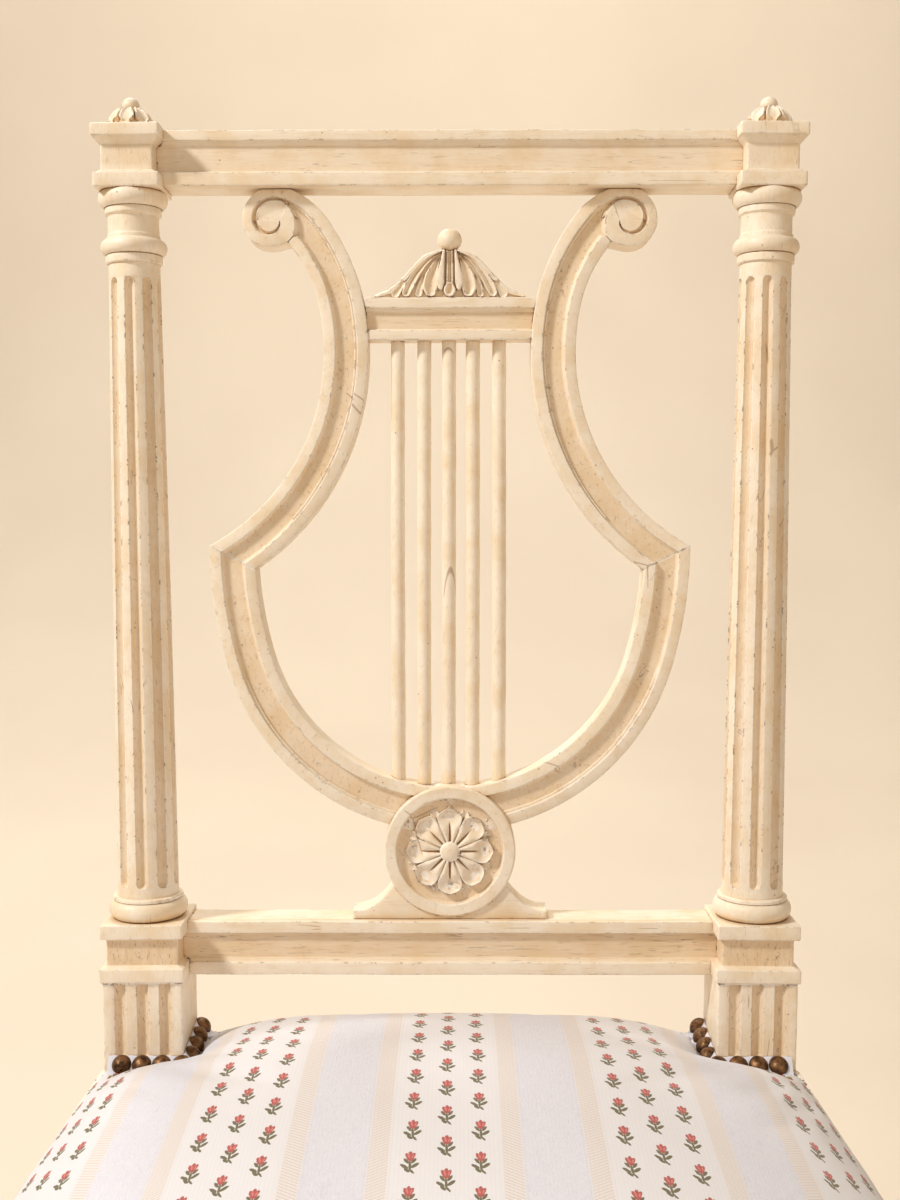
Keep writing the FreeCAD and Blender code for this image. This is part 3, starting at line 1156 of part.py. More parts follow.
def side_rail(side):
    way = WAYS[side]
    name = f"seat_rail_{side}"
    body = doc.addObject("PartDesign::Body", f"{name}_blank")
    rear = -joint_depth / 2 - S.joint_clearance / 2
    front = -S.seat_depth + S.leg_block_width / 2 + S.joint_clearance / 2
    through = S.seat_rail_thickness / math.cos(side_angle)
    middle = S.seat_height - S.seat_rail_height / 2
    plan = new_sketch(body, f"{name}_plan", z="seat_height - seat_rail_height")
    outline(plan, Vector(way * side_line(rear, 0), rear), Vector(way * side_line(front, 0), front),
            Vector(way * side_line(front, through), front), Vector(way * side_line(rear, through), rear))
    extrude(body, "Pad", plan, "seat_rail_height")
    for end, y, inward in (("rear", rear, 1), ("front", front, -1)):
        tenon = new_sketch(body, f"{name}_{end}_tenon", Vector(way * side_rail_x(y), y, middle), FACING_FRONT)
        rectangle(tenon, "tenon_thickness", "tenon_height")
        extrude(body, "Pad", tenon, "tenon_length", reverse=inward > 0)
    panel_z = rail_bottom + S.rail_panel_above_bottom + S.rail_panel_height / 2
    centre_y = (rear + front) / 2
    turn = Rotation(Vector(0, 0, 1), way * math.degrees(side_angle))
    outward = Rotation(Vector(0, 0, 1), 90 if way > 0 else -90) * FACING_FRONT
    panel = new_sketch(body, f"{name}_panel", Vector(way * side_line(centre_y, 0), centre_y, panel_z),
                       turn * outward)
    length = (rear - front) / math.cos(side_angle)
    rectangle(panel, f"{length} - 2 * rail_panel_end_margin", "rail_panel_height")
    extrude(body, "Pocket", panel, "rail_panel_depth")
    return body


def brace_corners():
    """Each brace: its name, the rails' inner corner, and directions along the two rails."""
    corners = []
    for side, way in WAYS.items():
        slope = Vector(-way * math.sin(side_angle), math.cos(side_angle), 0)
        inner = S.seat_rail_thickness / math.cos(side_angle)
        front_y = front_rail_y() + S.seat_rail_thickness / 2
        rear_y = back_rail_y() - S.seat_rail_thickness / 2
        corners.append((f"front_{side}", Vector(way * side_line(front_y, inner), front_y, 0),
                        Vector(-way, 0, 0), slope, S.front_brace_leg))
        corners.append((f"rear_{side}", Vector(way * side_line(rear_y, inner), rear_y, 0),
                        Vector(-way, 0, 0), -slope, S.rear_brace_leg))
    return corners


def brace_screw_lines(corner, along, up, leg):
    """Head and point of the two screws of a brace, square to its rails."""
    level = S.seat_height - S.brace_drop - S.brace_height / 2
    lines = []
    for way_a, way_b in ((along, up), (up, along)):
        foot = corner + way_a * (leg - S.brace_thickness * 0.55) + Vector(0, 0, level)
        normal = (way_b - way_a * way_a.dot(way_b)).normalize()
        lines.append((foot + normal * (S.screw_length * 0.42), -normal))
    return lines


def screw(head, direction, grow=0.0):
    """A countersunk screw from its head's face, grown by a clearance for its hole."""
    cone = Part.makeCone(S.screw_head_radius + grow, S.screw_radius + grow, S.screw_head_height,
                         head, direction)
    shank = Part.makeCylinder(S.screw_radius + grow, S.screw_length + grow, head, direction)
    if grow:
        bore = Part.makeCylinder(S.screw_head_radius + grow, S.screw_length, head, -direction)
        return cone.fuse([shank, bore])
    return cone.fuse(shank)


def braces_and_screws():
    screws, holes = [], []
    for name, corner, along, up, leg in brace_corners():
        back = leg - S.brace_thickness * 1.5
        base = corner + Vector(0, 0, S.seat_height - S.brace_drop - S.brace_height)
        points = [base + along * leg, base + up * leg, base + up * back, base + along * back]
        shape = Part.Face(Part.makePolygon(points + points[:1])).extrude(Vector(0, 0, S.brace_height))
        lines = brace_screw_lines(corner, along, up, leg)
        bored = [screw(head, way, S.joint_clearance) for head, way in lines]
        shape = shape.cut(bored)
        holes += bored
        screws += [screw(head, way) for head, way in lines]
        keep(solid_part(f"corner_brace_{name}", shape), f"corner_brace_{name}", Placement())
    grouped("brace_screws", screws, Placement())
    return holes


def bored_rail(body, name, holes):
    """The rail with the pilot holes of the brace screws."""
    tool = solid_part(f"{name}_screw_holes", Part.makeCompound(holes))
    cut = doc.addObject("Part::Cut", f"{name}_bored")
    cut.Base = body
    cut.Tool = tool
    return keep(cut, name, Placement())


# Upholstery

def seat_outline(inset, level, radius):
    """The seat's outline at a level, set in from the rails' outer faces, with round corners."""
    rear = joint_depth / 2 - S.seat_rail_inset - inset
    front = -S.seat_depth - S.leg_block_width / 2 + S.seat_rail_inset + inset
    across = inset / math.cos(side_angle)
    rear_x, front_x = side_line(rear, across), side_line(front, across)
    corners = [Vector(-rear_x, rear, level), Vector(rear_x, rear, level),
               Vector(front_x, front, level), Vector(-front_x, front, level)]
    edges, starts, ends = [], [], []
    for index, corner in enumerate(corners):
        before = (corners[index - 1] - corner).normalize()
        after = (corners[(index + 1) % 4] - corner).normalize()
        half = before.getAngle(after) / 2
        reach = radius / math.tan(half)
        start, end = corner + before * reach, corner + after * reach
        middle = corner + (before + after).normalize() * (radius / math.sin(half) - radius)
        starts.append(start)
        ends.append(end)
        edges.append(Part.Arc(start, middle, end).toShape())
        if index:
            edges.insert(-1, Part.LineSegment(ends[index - 1], start).toShape())
    edges.append(Part.LineSegment(ends[-1], starts[0]).toShape())
    return Part.Wire(edges)


def crown(shrink):
    """The fabric's outside as a solid from its lower edge up, drawn in by a thickness."""
    top = S.crown_height
    face = -S.cover_thickness - S.cover_gap
    edge = S.cover_corner_radius
    shape = ((face, -S.cover_drop, edge), (face, 0.5, edge), (0.5, 2.4, 3), (6, 5.8, 9), (12.5, 14, 16),
             (24, 0.49 * top, 26), (45, 0.69 * top, 44), (77, 0.86 * top, 60), (118, 0.97 * top, 56),
             (150, top, 30))
    wires = []
    for index, (inset, height, radius) in enumerate(shape):
        level = S.seat_height + height - (shrink if index else 0)
        wires.append(seat_outline(inset + shrink, level, radius))
    return Part.makeLoft(wires, True, True)


def post_surround(low_width, low, high_width, high):
    """Solids round both rear posts that change width between two levels above the rails."""
    solids = []
    for way in (-1, 1):
        wires = []
        for width, height in ((low_width, low), (high_width, high)):
            x, y = S.stile_width / 2 + width, joint_depth / 2 + width
            middle = Vector(way * post_seat_x(), 0, S.seat_height + height)
            points = [middle + Vector(a * x, b * y, 0) for a, b in ((-1, -1), (1, -1), (1, 1), (-1, 1))]
            wires.append(Part.makePolygon(points + points[:1]))
        solids.append(Part.makeLoft(wires, True, True))
    return solids


def post_blocks(gap):
    """Square bars round both rear posts, leaned like them, that clear them by a gap."""
    bars = []
    reach = S.nail_level + S.seat_rail_height
    for way in (-1, 1):
        width = S.stile_width + 2 * gap
        bar = Part.makeBox(width, width, reach, Vector(-width / 2, -width / 2, -reach))
        bar.Placement = post_frame(way)
        low = Part.makeBox(width, joint_depth + 2 * gap, S.seat_rail_height + S.cover_drop,
                           Vector(way * post_seat_x() - width / 2, -joint_depth / 2 - gap,
                                  S.seat_height - S.seat_rail_height - S.cover_drop))
        bars += [bar, low]
    return bars


def slab_top(under):
    """A box that takes away everything up to a level over the whole seat."""
    half, deep = S.seat_front_width, 2 * S.seat_depth
    return Part.makeBox(2 * half, deep, under, Vector(-half, -0.75 * deep, 0))


web_top = S.seat_height + 2 * S.web_thickness
hessian_bottom = web_top + S.tack_thickness + S.cloth_gap
hessian_top = hessian_bottom + S.hessian_thickness


def webbing():
    """Straps of both directions, their tacks, and the cloth over them."""
    length_ways, cross_ways, tacks = [], [], []
    half, count = S.web_width / 2, int(S.web_count)
    front = -S.seat_depth - S.leg_block_width / 2 + S.seat_rail_inset + S.web_end_inset
    rear = joint_depth / 2 - S.seat_rail_inset - S.web_end_inset
    middle = (front + rear) / 2 - S.web_shift
    for index in range(count):
        place = index - (count - 1) / 2
        x = place * S.web_pitch_across
        length_ways.append(Part.makeBox(S.web_width, rear - front, S.web_thickness,
                                        Vector(x - half, front, S.seat_height)))
        y = middle + place * S.web_pitch_along
        reach = side_line(y, S.web_end_inset + half * math.tan(side_angle))
        cross_ways.append(Part.makeBox(2 * reach, S.web_width, S.web_thickness,
                                       Vector(-reach, y - half, S.seat_height + S.web_thickness)))
        for step in (-1, 0, 1):
            for end in (front + S.tack_inset, rear - S.tack_inset):
                tacks.append(Part.makeCylinder(S.tack_radius, S.tack_thickness, Vector(
                    x + step * S.tack_spacing, end, S.seat_height + S.web_thickness)))
            for end in (-reach + S.tack_inset, reach - S.tack_inset):
                tacks.append(Part.makeCylinder(S.tack_radius, S.tack_thickness, Vector(
                    end, y + step * S.tack_spacing, web_top)))
    grouped("webbing_lengthwise", length_ways, Placement())
    grouped("webbing_crosswise", cross_ways, Placement())
    grouped("webbing_tacks", tacks, Placement())
    clear = S.trough_width + 2 * S.cover_thickness
    cloth = Part.Face(seat_outline(S.web_end_inset, hessian_bottom, 12)).extrude(
        Vector(0, 0, S.hessian_thickness)).cut(post_surround(clear, 0, clear, S.trough_rise))
    keep(solid_part("hessian", cloth), "hessian", Placement())


def troughs(grow):
    """The ground cleared round each post, its floor and slope grown by a thickness."""
    floor = S.cover_thickness + S.cover_gap - grow
    low, high = S.trough_width + grow, S.trough_width + S.trough_run + grow
    return post_surround(low, floor, high, floor + S.trough_rise)


def seat_pad_and_cover():
    skin = S.cover_thickness
    gap = S.cover_gap
    outside = crown(0).cut(troughs(0))
    inside = crown(skin).cut(troughs(skin))
    floor = skin + gap
    ground = Part.Face(seat_outline(-skin - gap, S.seat_height, S.cover_corner_radius))
    within = ground.extrude(Vector(0, 0, S.crown_height))
    hem = [ring.common(within) for ring in
           post_surround(S.hem_width + gap, floor - skin / 2, gap, floor + S.hem_width)]
    cover = outside.cut(inside).fuse(hem).cut(post_blocks(gap) + [frame_block()])
    pad = crown(skin + gap).cut(troughs(skin + gap) + [slab_top(hessian_top + S.cloth_gap)])
    keep(solid_part("seat_stuffing", pad), "seat_stuffing", Placement())
    keep(solid_part("seat_cover", cover.removeSplitter()), "seat_cover", Placement())


def frame_block():
    """Everything below the rails' top and inside the fabric's skirt."""
    low = S.seat_height - S.cover_drop
    ground = seat_outline(-S.cover_gap, low - 1, S.cover_corner_radius - S.cover_thickness)
    return Part.Face(ground).extrude(Vector(0, 0, S.cover_drop + 1 + S.cover_gap))


def nail_places():
    """Centre and outward direction of every nail round the seat and the posts' feet."""
    places = []
    level = S.seat_height - S.nail_drop
    skin = S.cover_thickness + S.cover_gap
    front_y = -S.seat_depth - S.leg_block_width / 2 + S.seat_rail_inset - skin
    rear_y = joint_depth / 2 - S.seat_rail_inset + skin

    def run(start, end, outward):
        count = max(round((end - start).Length / S.nail_pitch), 1)
        for index in range(count):
            places.append((start + (end - start) * ((index + 0.5) / count), outward))

    corner = side_line(front_y, -skin / math.cos(side_angle))
    foot_y = -joint_depth / 2 - S.nail_radius - 1
    foot = side_line(foot_y, -skin / math.cos(side_angle))
    run(Vector(-corner, front_y, level), Vector(corner, front_y, level), Vector(0, -1, 0))
    run(Vector(-post_inner_x + 1, rear_y, level), Vector(post_inner_x - 1, rear_y, level), Vector(0, 1, 0))
    slant = math.sqrt(0.5)
    step_out = S.hem_width / 2 + S.cover_gap
    top = S.seat_height + S.cover_thickness + S.cover_gap + S.hem_width / 2
    for way in (-1, 1):
        outward = Vector(way * math.cos(side_angle), math.sin(side_angle), 0)
        run(Vector(way * corner, front_y, level), Vector(way * foot, foot_y, level), outward)
        line_y = -joint_depth / 2 - step_out
        run(Vector(way * (post_inner_x - S.nail_radius), line_y, top),
            Vector(way * (post_outer_x - S.nail_radius), line_y, top), Vector(0, -slant, slant))
        line_x = way * (post_inner_x - step_out)
        run(Vector(line_x, -joint_depth / 2 + 2, top), Vector(line_x, joint_depth / 2 + 2, top),
            Vector(-way * slant, 0, slant))
    return places


def trim_nails():
    """Domed heads, each a slice of a ball, seated on the fabric."""
    heads = [dome(S.nail_radius, S.nail_dome, centre, outward) for centre, outward in nail_places()]
    return grouped("trim_nails", heads, Placement())


for side in WAYS:
    rear_post(side)
    finial(side)
    front_leg(side)
crest_rail()
lower_back_rail()
mirror_sides("lyre_arm", lyre_arm_shape)
mirror_sides("lyre_bowl", lyre_bowl_shape)
lyre_yoke()
for number, x in enumerate(string_places(), start=1):
    lyre_string(number, x)
yoke_crest()
yoke_ball()
medallion()
rosette()
rosette_button()
lyre_foot()
lyre_dowels()
joint_pegs()
leg_rosettes()
screw_holes = braces_and_screws()
play = S.joint_clearance / 2
front_rail = straight_rail("seat_rail_front", front_leg_x - S.leg_block_width / 2 - play,
                           front_rail_y(), False)
rear_rail = straight_rail("seat_rail_back", post_inner_x - play, back_rail_y(), True)
bored_rail(front_rail, "seat_rail_front", screw_holes)
bored_rail(rear_rail, "seat_rail_back", screw_holes)
for side in WAYS:
    bored_rail(side_rail(side), f"seat_rail_{side}", screw_holes)
webbing()
seat_pad_and_cover()
trim_nails()
doc.recompute()

# The origin goes to the middle of the chair's footprint, on the floor.
box = FreeCAD.BoundBox()
for feature, placement in sub_parts:
    shape = feature.Shape.copy()
    shape.Placement = placement * shape.Placement
    box.add(shape.optimalBoundingBox(True, False))
centre = Placement(Vector(-box.Center.x, -box.Center.y, -box.ZMin), FLAT)
for feature, placement in sub_parts:
    feature.Placement = centre * placement
doc.recompute()

for feature in doc.Objects:
    if "Invalid" in feature.State or "Error" in feature.State:
        raise RuntimeError(f"{feature.Label} failed: {feature.State}")
for feature, _ in sub_parts:
    if feature.Shape.isNull() or not feature.Shape.isValid():
        raise RuntimeError(f"{feature.Label} has no valid shape")

os.makedirs("parts", exist_ok=True)
for feature, _ in sub_parts:
    feature.Shape.exportStep(f"parts/{feature.Label}.step")
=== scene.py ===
"""The looks of the lyre back chair: painted frame, carved lyre and upholstered seat.

Outlines are drawn in millimetres in the plane of the back, with x across, y through its
thickness and z up from the top of the posts' plinths. They are then leaned into place.
"""

import logging
import math
from collections.abc import Callable, Sequence
from dataclasses import dataclass, field
from enum import Enum

import bmesh
import bpy
import numpy as np
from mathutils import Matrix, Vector
from mathutils.geometry import delaunay_2d_cdt


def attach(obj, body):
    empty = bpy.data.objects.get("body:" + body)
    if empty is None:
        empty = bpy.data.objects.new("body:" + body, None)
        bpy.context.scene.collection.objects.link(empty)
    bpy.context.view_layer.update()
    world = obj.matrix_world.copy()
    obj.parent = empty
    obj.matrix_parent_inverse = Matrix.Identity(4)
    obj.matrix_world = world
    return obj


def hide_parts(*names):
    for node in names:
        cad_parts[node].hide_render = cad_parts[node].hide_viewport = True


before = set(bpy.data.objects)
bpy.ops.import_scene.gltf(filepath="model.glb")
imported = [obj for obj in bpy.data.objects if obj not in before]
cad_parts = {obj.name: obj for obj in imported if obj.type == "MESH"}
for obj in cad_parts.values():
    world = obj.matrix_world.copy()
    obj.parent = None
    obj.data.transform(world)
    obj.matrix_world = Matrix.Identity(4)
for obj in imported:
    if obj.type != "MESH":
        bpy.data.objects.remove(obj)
logging.basicConfig(level=logging.INFO, format="%(message)s")
log = logging.getLogger("chair")

Array = np.ndarray
Colour = tuple[float, float, float]
METRE = 0.001


class Side(Enum):
    """Left and right as seen from the front, with the sign of x."""

    LEFT = -1
    RIGHT = 1

    @property
    def word(self) -> str:
        """The side's name as the nodes use it."""
        return self.name.lower()


@dataclass(frozen=True)
class BackFrame:
    """Where the flat drawing of the back stands in the chair."""

    rake: float = math.radians(8.0)
    splay: float = math.radians(0.62)
    seat_height: float = 430.0
    nail_level: float = 80.0
    depth: float = 159.533
    spacing: float = 350.0

    def lean(self, points: Array) -> Array:
        """Turn drawing points back by the rake about the seat's rear line.

        Args:
            points: rows of x, y, z in the plane of the back, mm.

        Returns:
            The same points in the chair's frame, mm. With h = z + nail level,
            y' = depth + y cos r + h sin r and z' = seat + h cos r - y sin r.
        """
        x, y, z = points[..., 0], points[..., 1], points[..., 2] + self.nail_level
        sine, cosine = math.sin(self.rake), math.cos(self.rake)
        return np.stack([x, self.depth + y * cosine + z * sine,
                         self.seat_height + z * cosine - y * sine], -1)

    def post(self, points: Array, side: Side) -> Array:
        """Place points of one post's own drawing, which leans outward by the splay."""
        turn = side.value * self.splay
        x, y, z = points[..., 0], points[..., 1], points[..., 2]
        moved = np.stack([side.value * self.spacing / 2 + x * math.cos(turn) + z * math.sin(turn),
                          y, z * math.cos(turn) - x * math.sin(turn)], -1)
        return self.lean(moved)

    @property
    def post_seat_x(self) -> float:
        """Half the distance between the posts' axes at the seat."""
        return self.spacing / 2 - self.nail_level * math.sin(self.splay)


BACK = BackFrame()


def arc(centre: Sequence[float], radius: float, start: float, end: float, spacing: float = 0.9) -> Array:
    """Points along a circle.

    Args:
        centre: the circle's centre, mm.
        radius: its radius, mm.
        start: first angle in degrees.
        end: last angle in degrees, which may be smaller.
        spacing: distance between points, mm.

    Returns:
        Rows of two coordinates, both ends included.
    """
    count = max(int(abs(math.radians(end - start)) * radius / spacing), 2)
    turn = np.radians(np.linspace(start, end, count + 1))
    return np.stack([centre[0] + radius * np.cos(turn), centre[1] + radius * np.sin(turn)], -1)


def crossing(centre_a: Sequence[float], radius_a: float, centre_b: Sequence[float], radius_b: float,
             left: bool) -> Array:
    """One of the two points where circles cross, left or right of the line from a to b."""
    a, b = np.array(centre_a, float), np.array(centre_b, float)
    gap = float(np.linalg.norm(b - a))
    along = (radius_a ** 2 - radius_b ** 2 + gap ** 2) / (2 * gap)
    across = math.sqrt(max(radius_a ** 2 - along ** 2, 0.0))
    unit = (b - a) / gap
    return a + unit * along + np.array([-unit[1], unit[0]]) * (across if left else -across)


def angle_of(point: Array, centre: Sequence[float]) -> float:
    """Direction in degrees from a centre to a point."""
    return math.degrees(math.atan2(point[1] - centre[1], point[0] - centre[0]))


def spline(points: Sequence[Sequence[float]], steps: int = 12) -> Array:
    """A smooth open curve through points, each span the cubic with tangents (next - previous) / 2."""
    p = np.array(points, float)
    before = np.vstack([2 * p[0] - p[1], p[:-1]])
    after = np.vstack([p[1:], 2 * p[-1] - p[-2]])
    tangent = (after - before) / 2
    t = np.linspace(0, 1, steps, endpoint=False)[None, :, None]
    a, b, ta, tb = p[:-1, None], p[1:, None], tangent[:-1, None], tangent[1:, None]
    curve = ((2 * t ** 3 - 3 * t ** 2 + 1) * a + (t ** 3 - 2 * t ** 2 + t) * ta
             + (3 * t ** 2 - 2 * t ** 3) * b + (t ** 3 - t ** 2) * tb)
    return np.vstack([curve.reshape(-1, p.shape[1]), p[-1:]])


def soften(corners: Sequence[Sequence[float]], radius: float = 0.5, closed: bool = True,
           steps: int = 3) -> Array:
    """Round the corners of an outline.

    Args:
        corners: two coordinates each, and a third value where a corner has its own radius, mm.
        radius: radius of the other corners, mm.
        closed: whether the last corner joins the first.
        steps: spans in each rounded corner.

    Returns:
        Points in which a corner c between a and b is the curve (1-t)^2 a + 2t(1-t) c + t^2 b.
    """
    radii = np.array([c[2] if len(c) > 2 else radius for c in corners])
    points = np.array([c[:2] for c in corners], float)
    before, after = np.roll(points, 1, 0) - points, np.roll(points, -1, 0) - points
    length_before = np.linalg.norm(before, axis=1)
    length_after = np.linalg.norm(after, axis=1)
    cosine = -(before * after).sum(1) / np.maximum(length_before * length_after, 1e-9)
    turn = np.arccos(np.clip(cosine, -1, 1))
    shorter = np.minimum(length_before, length_after)
    cut = np.minimum(radii * np.tan(np.minimum(turn, 3.0) / 2), 0.45 * shorter)
    if not closed:
        cut[0] = cut[-1] = 0.0
    a = points + before * (cut / np.maximum(length_before, 1e-9))[:, None]
    b = points + after * (cut / np.maximum(length_after, 1e-9))[:, None]
    t = np.linspace(0, 1, steps + 1)[None, :, None]
    curve = (1 - t) ** 2 * a[:, None] + 2 * t * (1 - t) * points[:, None] + t ** 2 * b[:, None]
    flat = curve.reshape(-1, 2)
    step = np.linalg.norm(flat - np.roll(flat, 1, 0), axis=1)
    step[0] = step[0] if closed else 1.0
    return flat[step > 1e-4]


def divide(points: Array, spacing: float, closed: bool = False) -> Array:
    """Add points along the long spans of a line so that none is longer than the spacing."""
    ends = np.vstack([points, points[:1]]) if closed else points
    pieces = []
    for start, end in zip(ends[:-1], ends[1:]):
        count = max(int(math.ceil(np.linalg.norm(end - start) / spacing)), 1)
        pieces.append(start + (end - start) * (np.arange(count) / count)[:, None])
    line = np.vstack(pieces)
    return line if closed else np.vstack([line, ends[-1:]])


def mirrored(half: Array) -> Array:
    """A closed outline from its half with x below 0, read from the middle's top to the middle's bottom."""
    other = half[::-1] * np.array([-1.0, 1.0])
    return np.vstack([half, other])


def inset(outline: Array, distance: float) -> Array:
    """Move a closed, counter-clockwise outline inward.

    Args:
        outline: densely spaced points, mm.
        distance: how far to move, mm.

    Returns:
        Each point moved along the inward normal, without those that come nearer to the
        outline than the distance, so narrow parts close up.
    """
    tangent = np.roll(outline, -1, 0) - np.roll(outline, 1, 0)
    tangent /= np.maximum(np.linalg.norm(tangent, axis=1), 1e-9)[:, None]
    moved = outline + np.stack([-tangent[:, 1], tangent[:, 0]], -1) * distance
    gap = np.full(len(moved), np.inf)
    for start in range(0, len(outline), 400):
        part = outline[start:start + 400]
        reach = np.linalg.norm(moved[:, None] - part[None], axis=2).min(1)
        gap = np.minimum(gap, reach)
    return moved[gap > distance * 0.985]


def rise(low: float, high: float, values: Array) -> Array:
    """Smooth step 3t^2 - 2t^3 of t = (value - low) / (high - low), held between 0 and 1."""
    t = np.clip((values - low) / (high - low), 0, 1)
    return t * t * (3 - 2 * t)


class Shell:
    """Faces of one piece, collected patch by patch and welded when it is made."""

    def __init__(self) -> None:
        self.points: list[Array] = []
        self.quads: list[Array] = []
        self.triangles: list[Array] = []
        self.glaze: list[Array] = []
        self.count = 0

    def _add(self, points: Array, glaze: Array | float) -> int:
        """Store points with their share of brown glaze and painted shade and return the first one's number.
        """
        flat = points.reshape(-1, 3)
        self.points.append(flat)
        self.glaze.append(np.broadcast_to(np.asarray(glaze, float), points.shape[:-1]).reshape(-1))
        first = self.count
        self.count += len(flat)
        return first

    def grid(self, points: Array, glaze: Array | float = 0.0, wrap: bool = False,
             caps: bool = False) -> "Shell":
        """Add a patch of rows and columns.

        Args:
            points: array of rows, columns and three coordinates, mm.
            glaze: share of brown glaze and painted shade, one value or one per point.
            wrap: join the last column to the first.
            caps: close the first and last row with a fan round their middle.

        Returns:
            The shell itself.
        """
        rows, columns = points.shape[:2]
        first = self._add(points, glaze)
        index = first + np.arange(rows * columns).reshape(rows, columns)
        right = np.roll(index, -1, 1) if wrap else index[:, 1:]
        left = index if wrap else index[:, :-1]
        self.quads.append(np.stack([left[:-1], right[:-1], right[1:], left[1:]], -1).reshape(-1, 4))
        if caps:
            values = np.broadcast_to(np.asarray(glaze, float), points.shape[:-1])
            for row in (0, rows - 1):
                middle = self._add(points[row].mean(0)[None], float(values[row].mean()))
                ring = index[row]
                turned = np.roll(ring, -1)
                self.triangles.append(np.stack([ring, turned, np.full_like(ring, middle)], -1))
        return self

    def mesh(self, points: Array, triangles: Array, glaze: Array | float = 0.0) -> "Shell":
        """Add loose triangles that count from 0 in their own points."""
        first = self._add(points, glaze)
        self.triangles.append(np.asarray(triangles) + first)
        return self

    def put(self, place: Callable[[Array], Array]) -> "Shell":
        """Move everything collected so far with a function of points."""
        self.points = [place(points) for points in self.points]
        return self

    def make(self, name: str, material: bpy.types.Material, sharp: float = 38.0) -> bpy.types.Object:
        """Weld the patches into one closed object in metres.

        Args:
            name: the object's name.
            material: its finish.
            sharp: angle in degrees above which an edge is shaded sharp.

        Returns:
            The new object, with the share of glaze and painted shade as a point attribute.
        """
        mesh = bpy.data.meshes.new(name)
        faces = [face for group in self.quads + self.triangles for face in group.tolist()]
        mesh.from_pydata((np.vstack(self.points) * METRE).tolist(), [], faces)
        layer = mesh.attributes.new("glaze", "FLOAT", "POINT")
        layer.data.foreach_set("value", np.concatenate(self.glaze).astype(np.float32))
        work = bmesh.new()
        work.from_mesh(mesh)
        bmesh.ops.remove_doubles(work, verts=work.verts, dist=4e-6)
        bmesh.ops.dissolve_degenerate(work, edges=work.edges, dist=1e-6)
        bmesh.ops.recalc_face_normals(work, faces=work.faces)
        work.to_mesh(mesh)
        work.free()
        return finish_object(name, mesh, material, sharp)


def finish_object(name: str, mesh: bpy.types.Mesh, material: bpy.types.Material,
                  sharp: float = 38.0) -> bpy.types.Object:
    """Link a mesh as an object with its finish, smooth with sharp arrises."""
    mesh.materials.clear()
    mesh.materials.append(material)
    mesh.shade_smooth()
    mesh.set_sharp_from_angle(angle=math.radians(sharp))
    piece = bpy.data.objects.new(name, mesh)
    bpy.context.scene.collection.objects.link(piece)
    log.info("%s: %d faces", name, len(mesh.polygons))
    return piece


def stand_for(piece: bpy.types.Object, slot: str, *nodes: str) -> bpy.types.Object:
    """Fix a piece to the chair in the place of drawn nodes."""
    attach(piece, "root")
    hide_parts(*nodes)
    return piece


# Shader nodes written as expressions

class Field:
    """A value or colour somewhere in a material, which can be added, scaled and mixed."""

    def __init__(self, graph: "Graph", socket: bpy.types.NodeSocket) -> None:
        self.graph = graph
        self.socket = socket

    def __add__(self, other: "Value") -> "Field":
        return self.graph.math("ADD", self, other)

    __radd__ = __add__

    def __sub__(self, other: "Value") -> "Field":
        return self.graph.math("SUBTRACT", self, other)

    def __rsub__(self, other: "Value") -> "Field":
        return self.graph.math("SUBTRACT", other, self)

    def __mul__(self, other: "Value") -> "Field":
        return self.graph.math("MULTIPLY", self, other)

    __rmul__ = __mul__

    def __truediv__(self, other: "Value") -> "Field":
        return self.graph.math("DIVIDE", self, other)

    def span(self, low: float, high: float, start: float = 0.0, end: float = 1.0) -> "Field":
        """Smoothly map low..high to start..end, held at both ends."""
        node = self.graph.add("ShaderNodeMapRange", interpolation_type="SMOOTHSTEP")
        self.graph.feed(node.inputs["Value"], self)
        for name, value in (("From Min", low), ("From Max", high), ("To Min", start), ("To Max", end)):
            node.inputs[name].default_value = value
        return Field(self.graph, node.outputs["Result"])

    def most(self, other: "Value") -> "Field":
        """The larger of two values."""
        return self.graph.math("MAXIMUM", self, other)

    def least(self, other: "Value") -> "Field":
        """The smaller of two values."""
        return self.graph.math("MINIMUM", self, other)

    def size(self) -> "Field":
        """The value without its sign."""
        return self.graph.math("ABSOLUTE", self)

    def whole(self) -> "Field":
        """The nearest whole number."""
        return self.graph.math("ROUND", self)

    def part(self, name: str) -> "Field":
        """One coordinate of a vector."""
        node = self.graph.add("ShaderNodeSeparateXYZ")
        self.graph.feed(node.inputs[0], self)
        return Field(self.graph, node.outputs[name])


Value = Field | float


def rgb(red: int, green: int, blue: int) -> Colour:
    """A screen colour of 0 to 255 as linear light: ((c + 0.055) / 1.055) ^ 2.4 above the toe."""
    def linear(level: int) -> float:
        c = level / 255
        return c / 12.92 if c <= 0.04045 else ((c + 0.055) / 1.055) ** 2.4
    return linear(red), linear(green), linear(blue)


